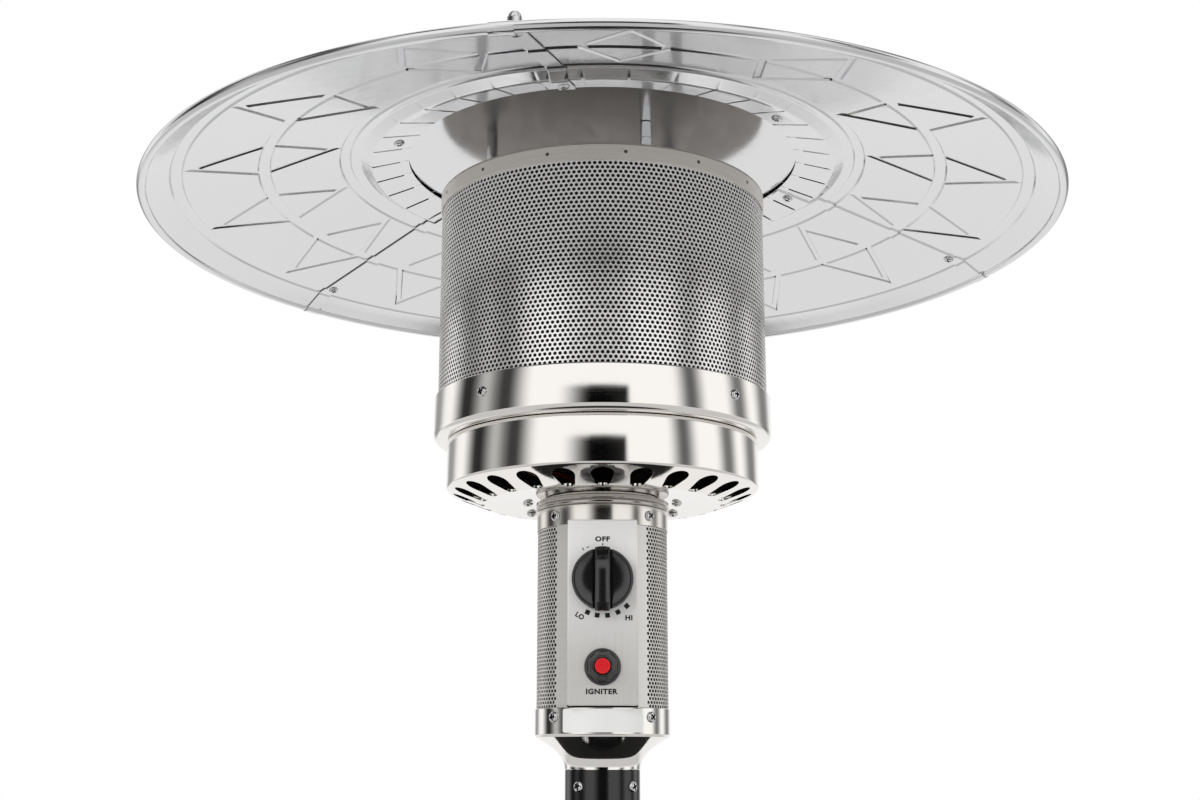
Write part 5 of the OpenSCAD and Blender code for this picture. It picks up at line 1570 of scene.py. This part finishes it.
    def marks(self) -> None:
        """Prints the dial's words, ticks and squares and the igniter's word."""
        ink = bmesh.new()
        words = (("OFF", 12.2, 4.3, 0.0, 34.0, 0.0), ("LO", 7.2, 4.3, -18.6, -29.3, -30.0),
                 ("HI", 5.9, 4.3, 21.5, -30.8, 0.0), ("IGNITER", 25.8, 4.5, -0.6, -90.1, 0.0))
        for text, width, height, x, z, turn in words:
            add_to(ink, lettering(text, width, height),
                   Matrix.Translation((x, z, 0)) @ about_z(turn))
        half = self.mark_size / 2
        for deg in self.mark_degs:
            add_to(ink, block((-half, -self.mark_r - half, -self.ink),
                              (half, -self.mark_r + half, 0)),
                   about_z(-deg))
        for deg, out, long, wide in ((0, 28.6, 1.8, 0.9), (32, 29.2, 2.2, 0.8),
                                     (24, 29.4, 0.8, 2.0)):
            add_to(ink, block((-wide / 2, out, -self.ink), (wide / 2, out + long, 0)),
                   about_z(deg))
        matrix = self.at(0, self.knob_z, self.panel_front - self.ink)
        piece("panel_marks", placed(ink, matrix), finish=PAD_PRINT)

    def build(self) -> None:
        """Builds the controls."""
        self.knob()
        self.igniter()
        self.marks()


# Post, tank housing and base

@dataclass
class Stand:
    """Post, tank housing, base plate, feet and wheels."""

    post_wall: float = 1.5
    screw_deg: float = 38.5
    screw_down: float = 13.6
    drum_wall: float = 1.0
    vent_r: float = 10.0
    vent_up: float = 40.0
    vents: int = 12
    drum_hole: float = 35.8
    dome_r: float = 16.0
    step_r: float = 204.0
    foot_place: float = 213.5
    hub_r: float = 13.0
    tyre_in: float = 36.0
    spokes: int = 5
    hole_r: float = 5.5
    hole_place: float = 24.5

    def post(self) -> None:
        """Draws the post's tube and sets its screws."""
        node = span("post")
        r = node.radius
        line = sleeve(r - self.post_wall, r, node.low, node.high, 0.3)
        piece("post", spun(line, 128), "post")
        z = node.high - self.screw_down
        places = [(polar(r + 0.05, self.screw_deg + 90 * k, z), outward(self.screw_deg + 90 * k),
                   20 + 31 * k) for k in range(4)]
        screws("post_screws", "post_screws", places, CrossScrew())

    def drum(self) -> None:
        """Rolls the tank housing's wall with hemmed edges and round vents."""
        node = span("tank_housing")
        r, t = node.radius, self.drum_wall
        line = [(r - t, node.low), (r - 0.4, node.low), (r, node.low + 0.4),
                (r, node.low + 12), (r - 0.5, node.low + 12.6), (r - 0.5, node.high - 0.5),
                (r - t, node.high)]
        mesh = spun(line, 256)
        punches = bmesh.new()
        for k in range(self.vents):
            deg = (k + 0.5) * FULL_TURN / self.vents
            punch = spun(sleeve(0, self.vent_r, 0, 20), 32)
            add_to(punches, punch, facing(polar(r - 10, deg, node.low + self.vent_up),
                                          outward(deg)))
        piece("tank_housing", carved(mesh, punches), "tank_housing")
        top = span("tank_housing_top")
        hole, dome = self.drum_hole, self.dome_r
        line = [(top.radius, top.low), (top.radius, top.high - 38)]
        line += arc(top.radius - dome, top.high - 41, dome, 8, 70, 8)
        line += [(60, top.high - 6.5), (hole + 8, top.high - 1.5), (hole + 6, top.high - 0.6),
                 (hole, top.high - 0.6)]
        piece("tank_housing_top", spun(walled(line, t), 256), "tank_housing_top")

    def base(self) -> None:
        """Presses the base plate and moulds its feet."""
        node = span("base_plate")
        r, t = node.radius, 1.5
        line = [(r, node.low)]
        line += arc(r - 6, node.high - 12, 6, 0, 90, 6)
        line += [(self.step_r, node.high - 6)]
        line += arc(self.step_r - 5.5, node.high - 5, 5, 0, 90, 5)
        line += [(0.0, node.high)]
        piece("base_plate", spun(walled(line, t), 256), "base_plate")
        group = bmesh.new()
        for k in range(4):
            pad = spun([(0, 0), (11.2, 0), (12, 0.8), (10.9, 5.6), (10.4, 6), (0, 6)], 48)
            add_to(group, pad, Matrix.Translation(polar(self.foot_place, 45 + 90 * k)))
        piece("base_feet", group, "base_feet")

    def wheel(self, node: str) -> None:
        """Moulds a wheel: tyre, web with round holes, hub."""
        lo, hi = (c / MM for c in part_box(node))
        centre, r, half = (lo + hi) / 2, (hi.z - lo.z) / 2, (hi.x - lo.x) / 2
        tyre = arc(r - 4, half - 4, 4, 0, 90, 5) + [(self.tyre_in, half)]
        web = 3.0
        side = tyre + [(self.tyre_in - 1.5, half - 1), (self.tyre_in - 2, web),
                       (self.hub_r + 1.5, web), (self.hub_r, half - 1),
                       (self.hub_r - 0.8, half)]
        bore = [(6.3, half), (6.3, -half)]
        lower = [(x, -z) for x, z in reversed(side)]
        mesh = spun(side + bore + lower, 96)
        holes = bmesh.new()
        for k in range(self.spokes):
            add_to(holes, spun(sleeve(0, self.hole_r, -half, half), 24),
                   about_z(k * FULL_TURN / self.spokes)
                   @ Matrix.Translation((0, self.hole_place, 0)))
        out = Vector((1 if centre.x > 0 else -1, 0, 0))
        piece(node, placed(carved(mesh, holes), facing(centre, out)), node, sharp=35)

    def build(self) -> None:
        """Builds the stand."""
        self.post()
        self.drum()
        self.base()
        self.wheel("wheel_left")
        self.wheel("wheel_right")


def dress_cad_nodes() -> None:
    """Gives every CAD node that still shows the finish of its slot."""
    for name, node in frame["nodes"].items():
        node.data.materials.clear()
        node.data.materials.append(SLOT_FINISH[SLOT_OF[name]].material())


# Studio

@dataclass(frozen=True)
class Card:
    """Dark card round the heater, as its reflections show it; angles seen from the heater."""

    azimuth: float
    half: float
    soft: float
    tone: float
    low: float = -14.0
    high: float = 100.0
    fade: float = 8.6


@dataclass
class Studio:
    """White studio: camera, floor, lamps, and a world with dark cards that metal reflects."""

    cards: tuple = (Card(4, 11, 4, 0.015, -14, 17, 3), Card(-5, 4, 22, 0.02, -14, 17, 3),
                    Card(-67.5, 1.5, 20, 0.05), Card(-86, 9, 9, 0.62), Card(-103, 2, 20, 0.03),
                    Card(-148, 3, 14, 0.4),
                    Card(61, 0.5, 14, 0.13), Card(104, 1, 14, 0.2), Card(140, 2, 18, 0.28),
                    Card(180, 40, 20, 0.93, -60, 40), Card(0, 128, 24, 0.62, -110, -8),
                    Card(0, 185, 5, 0.05, -110, -64))
    white: float = 1.06
    soft_light: float = 0.78
    camera_at: tuple = (-2.1, -1341.9, 1650.0)
    camera_up_deg: float = 13.075
    lens: float = 46.72
    sensor: float = 36.0
    floor_r: float = 20000.0
    lamp_at: tuple = (-2200.0, -3200.0, 3400.0)
    lamp_aim: tuple = (0.0, 0.0, 1700.0)
    lamp_size: float = 1600.0
    lamp_power: float = 34.0
    flag_r: float = 200.0
    flag_at: tuple = (0.0, 60.0, 1480.0)

    def world(self) -> None:
        """Paints the world: white to the camera, cards to metal, even light to the rest."""
        world = bpy.data.worlds.new("studio")
        bpy.context.scene.world = world
        world.use_nodes = True
        tree = world.node_tree
        tree.nodes.clear()
        way = add_node(tree, "ShaderNodeSeparateXYZ", None, {
            0: add_node(tree, "ShaderNodeTexCoord").outputs["Generated"]})
        back = self.math(tree, "MULTIPLY", way.outputs["Y"], -1.0)
        turn = self.math(tree, "ARCTAN2", way.outputs["X"], back)
        rise = self.math(tree, "ARCSINE", way.outputs["Z"])
        light = add_node(tree, "ShaderNodeValue")
        light.outputs[0].default_value = self.white
        tone = light.outputs[0]
        for card in self.cards:
            azimuth, half, soft, low, high, fade = (math.radians(angle) for angle in (
                card.azimuth, card.half, card.soft, card.low, card.high, card.fade))
            off = self.math(tree, "SUBTRACT", turn, azimuth)
            off = self.math(tree, "WRAP", off, math.pi, -math.pi)
            off = self.math(tree, "ABSOLUTE", off)
            dim = self.spread(tree, off, half + soft, half)
            for edge, inside in ((low, low + fade), (high, high - fade)):
                dim = self.math(tree, "MULTIPLY", dim, self.spread(tree, rise, edge, inside))
            dim = self.math(tree, "MULTIPLY", dim, card.tone / self.white - 1)
            dim = self.math(tree, "ADD", dim, 1.0)
            tone = self.math(tree, "MULTIPLY", tone, dim)
        path = add_node(tree, "ShaderNodeLightPath")
        seen = self.math(tree, "MAXIMUM", path.outputs["Is Camera Ray"],
                         path.outputs["Is Transmission Ray"])
        soft = add_node(tree, "ShaderNodeMix", {"data_type": "FLOAT", 2: self.soft_light},
                        {0: path.outputs["Is Glossy Ray"], 3: tone})
        final = add_node(tree, "ShaderNodeMix", {"data_type": "FLOAT", 3: 1.0},
                         {0: seen, 2: soft.outputs[0]})
        backdrop = add_node(tree, "ShaderNodeBackground", {"Color": linear("#FFFFFF")},
                            {"Strength": final.outputs[0]})
        add_node(tree, "ShaderNodeOutputWorld", None, {"Surface": backdrop.outputs[0]})

    def math(self, tree: Tree, operation: str, *terms: Socket | float) -> Socket:
        """Adds a math node whose terms are sockets or numbers."""
        numbers = {i: t for i, t in enumerate(terms) if isinstance(t, (int, float))}
        sockets = {i: t for i, t in enumerate(terms) if i not in numbers}
        return add_node(tree, "ShaderNodeMath", {"operation": operation, **numbers},
                        sockets).outputs[0]

    def spread(self, tree: Tree, value: Socket, low: float,
               high: float) -> Socket:
        """Maps a value from low..high to 0..1 with soft ends."""
        return add_node(tree, "ShaderNodeMapRange",
                        {"interpolation_type": "SMOOTHSTEP", "From Min": low, "From Max": high},
                        {"Value": value}).outputs[0]

    def camera(self) -> None:
        """Sets the camera where the photo's circles put it."""
        data = bpy.data.cameras.new("camera")
        data.lens, data.sensor_width = self.lens, self.sensor
        data.clip_start, data.clip_end = 0.05, 100.0
        holder = linked("camera", data)
        holder.location = [c * MM for c in self.camera_at]
        holder.rotation_euler = (math.radians(90 + self.camera_up_deg), 0, 0)
        bpy.context.scene.camera = holder

    def lamp(self) -> None:
        """Hangs a soft square lamp in front, which metal doesn't mirror."""
        data = bpy.data.lights.new("front_lamp", "AREA")
        data.shape, data.size, data.energy = "SQUARE", self.lamp_size * MM, self.lamp_power
        holder = linked("front_lamp", data)
        place, aim = (Vector(point) * MM for point in (self.lamp_at, self.lamp_aim))
        holder.location = place
        holder.rotation_euler = (place - aim).to_track_quat("Z", "Y").to_euler()
        holder.visible_glossy = False

    def floor(self) -> None:
        """Lays a wide white floor that keeps the heater's shadow."""
        mesh = bmesh.new()
        bmesh.ops.create_circle(mesh, cap_ends=True, segments=96, radius=self.floor_r * MM)
        floor = linked("studio_floor", mesh_data("studio_floor", mesh))
        floor.data.materials.append(self.floor_material())

    def flag(self) -> None:
        """Hangs a black flag round the post, out of view, that darkens the cup's reflections."""
        mesh = bmesh.new()
        bmesh.ops.create_circle(mesh, cap_ends=True, segments=64, radius=self.flag_r * MM,
                                matrix=Matrix.Translation(Vector(self.flag_at) * MM))
        flag = linked("studio_flag", mesh_data("studio_flag", mesh))
        flag.data.materials.append(Finish("studio_flag", "#101010", 0.0, 0.9).material())
        for ray in ("camera", "diffuse", "shadow", "transmission", "volume_scatter"):
            setattr(flag, f"visible_{ray}", False)

    def floor_material(self) -> bpy.types.Material:
        """Matt white paper that lets mirror rays through, so that metal shows the backdrop."""
        paper = Finish("studio_floor", "#F2F2F2", 0.0, 0.8).material()
        tree = paper.node_tree
        path = add_node(tree, "ShaderNodeLightPath")
        clear = add_node(tree, "ShaderNodeBsdfTransparent")
        both = add_node(tree, "ShaderNodeMixShader", None, {
            0: path.outputs["Is Glossy Ray"], 1: tree.nodes["Principled BSDF"].outputs[0],
            2: clear.outputs[0]})
        tree.links.new(both.outputs[0], tree.nodes["Material Output"].inputs["Surface"])
        return paper

    def build(self) -> None:
        """Sets up the studio."""
        bpy.context.scene.view_settings.view_transform = "Standard"
        for step in (self.world, self.camera, self.floor, self.flag, self.lamp):
            step()


def close_springs() -> None:
    """Gives the springs pieces of their own, each with a mesh of its own."""
    for node, joint, travel in (("knob_spring", "knob_push", 3.0),
                                ("igniter_spring", "igniter_press", 4.5)):
        mesh = bmesh.new()
        mesh.from_mesh(frame["nodes"][node].data)
        to_mm = Matrix.Scale(1 / MM, 4) @ frame["nodes"][node].matrix_world
        spring = piece(node, placed(mesh, to_mm), node)
        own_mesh(spring)


def main() -> None:
    logging.basicConfig(level=logging.INFO, format="%(message)s")
    dress_cad_nodes()
    close_springs()
    for part in (Reflector(), EmitterHead(), ControlHousing(), Controls(), Stand()):
        part.build()
        log.info("%s built", type(part).__name__)
    Studio().build()


if __name__ == "__main__":
    main()
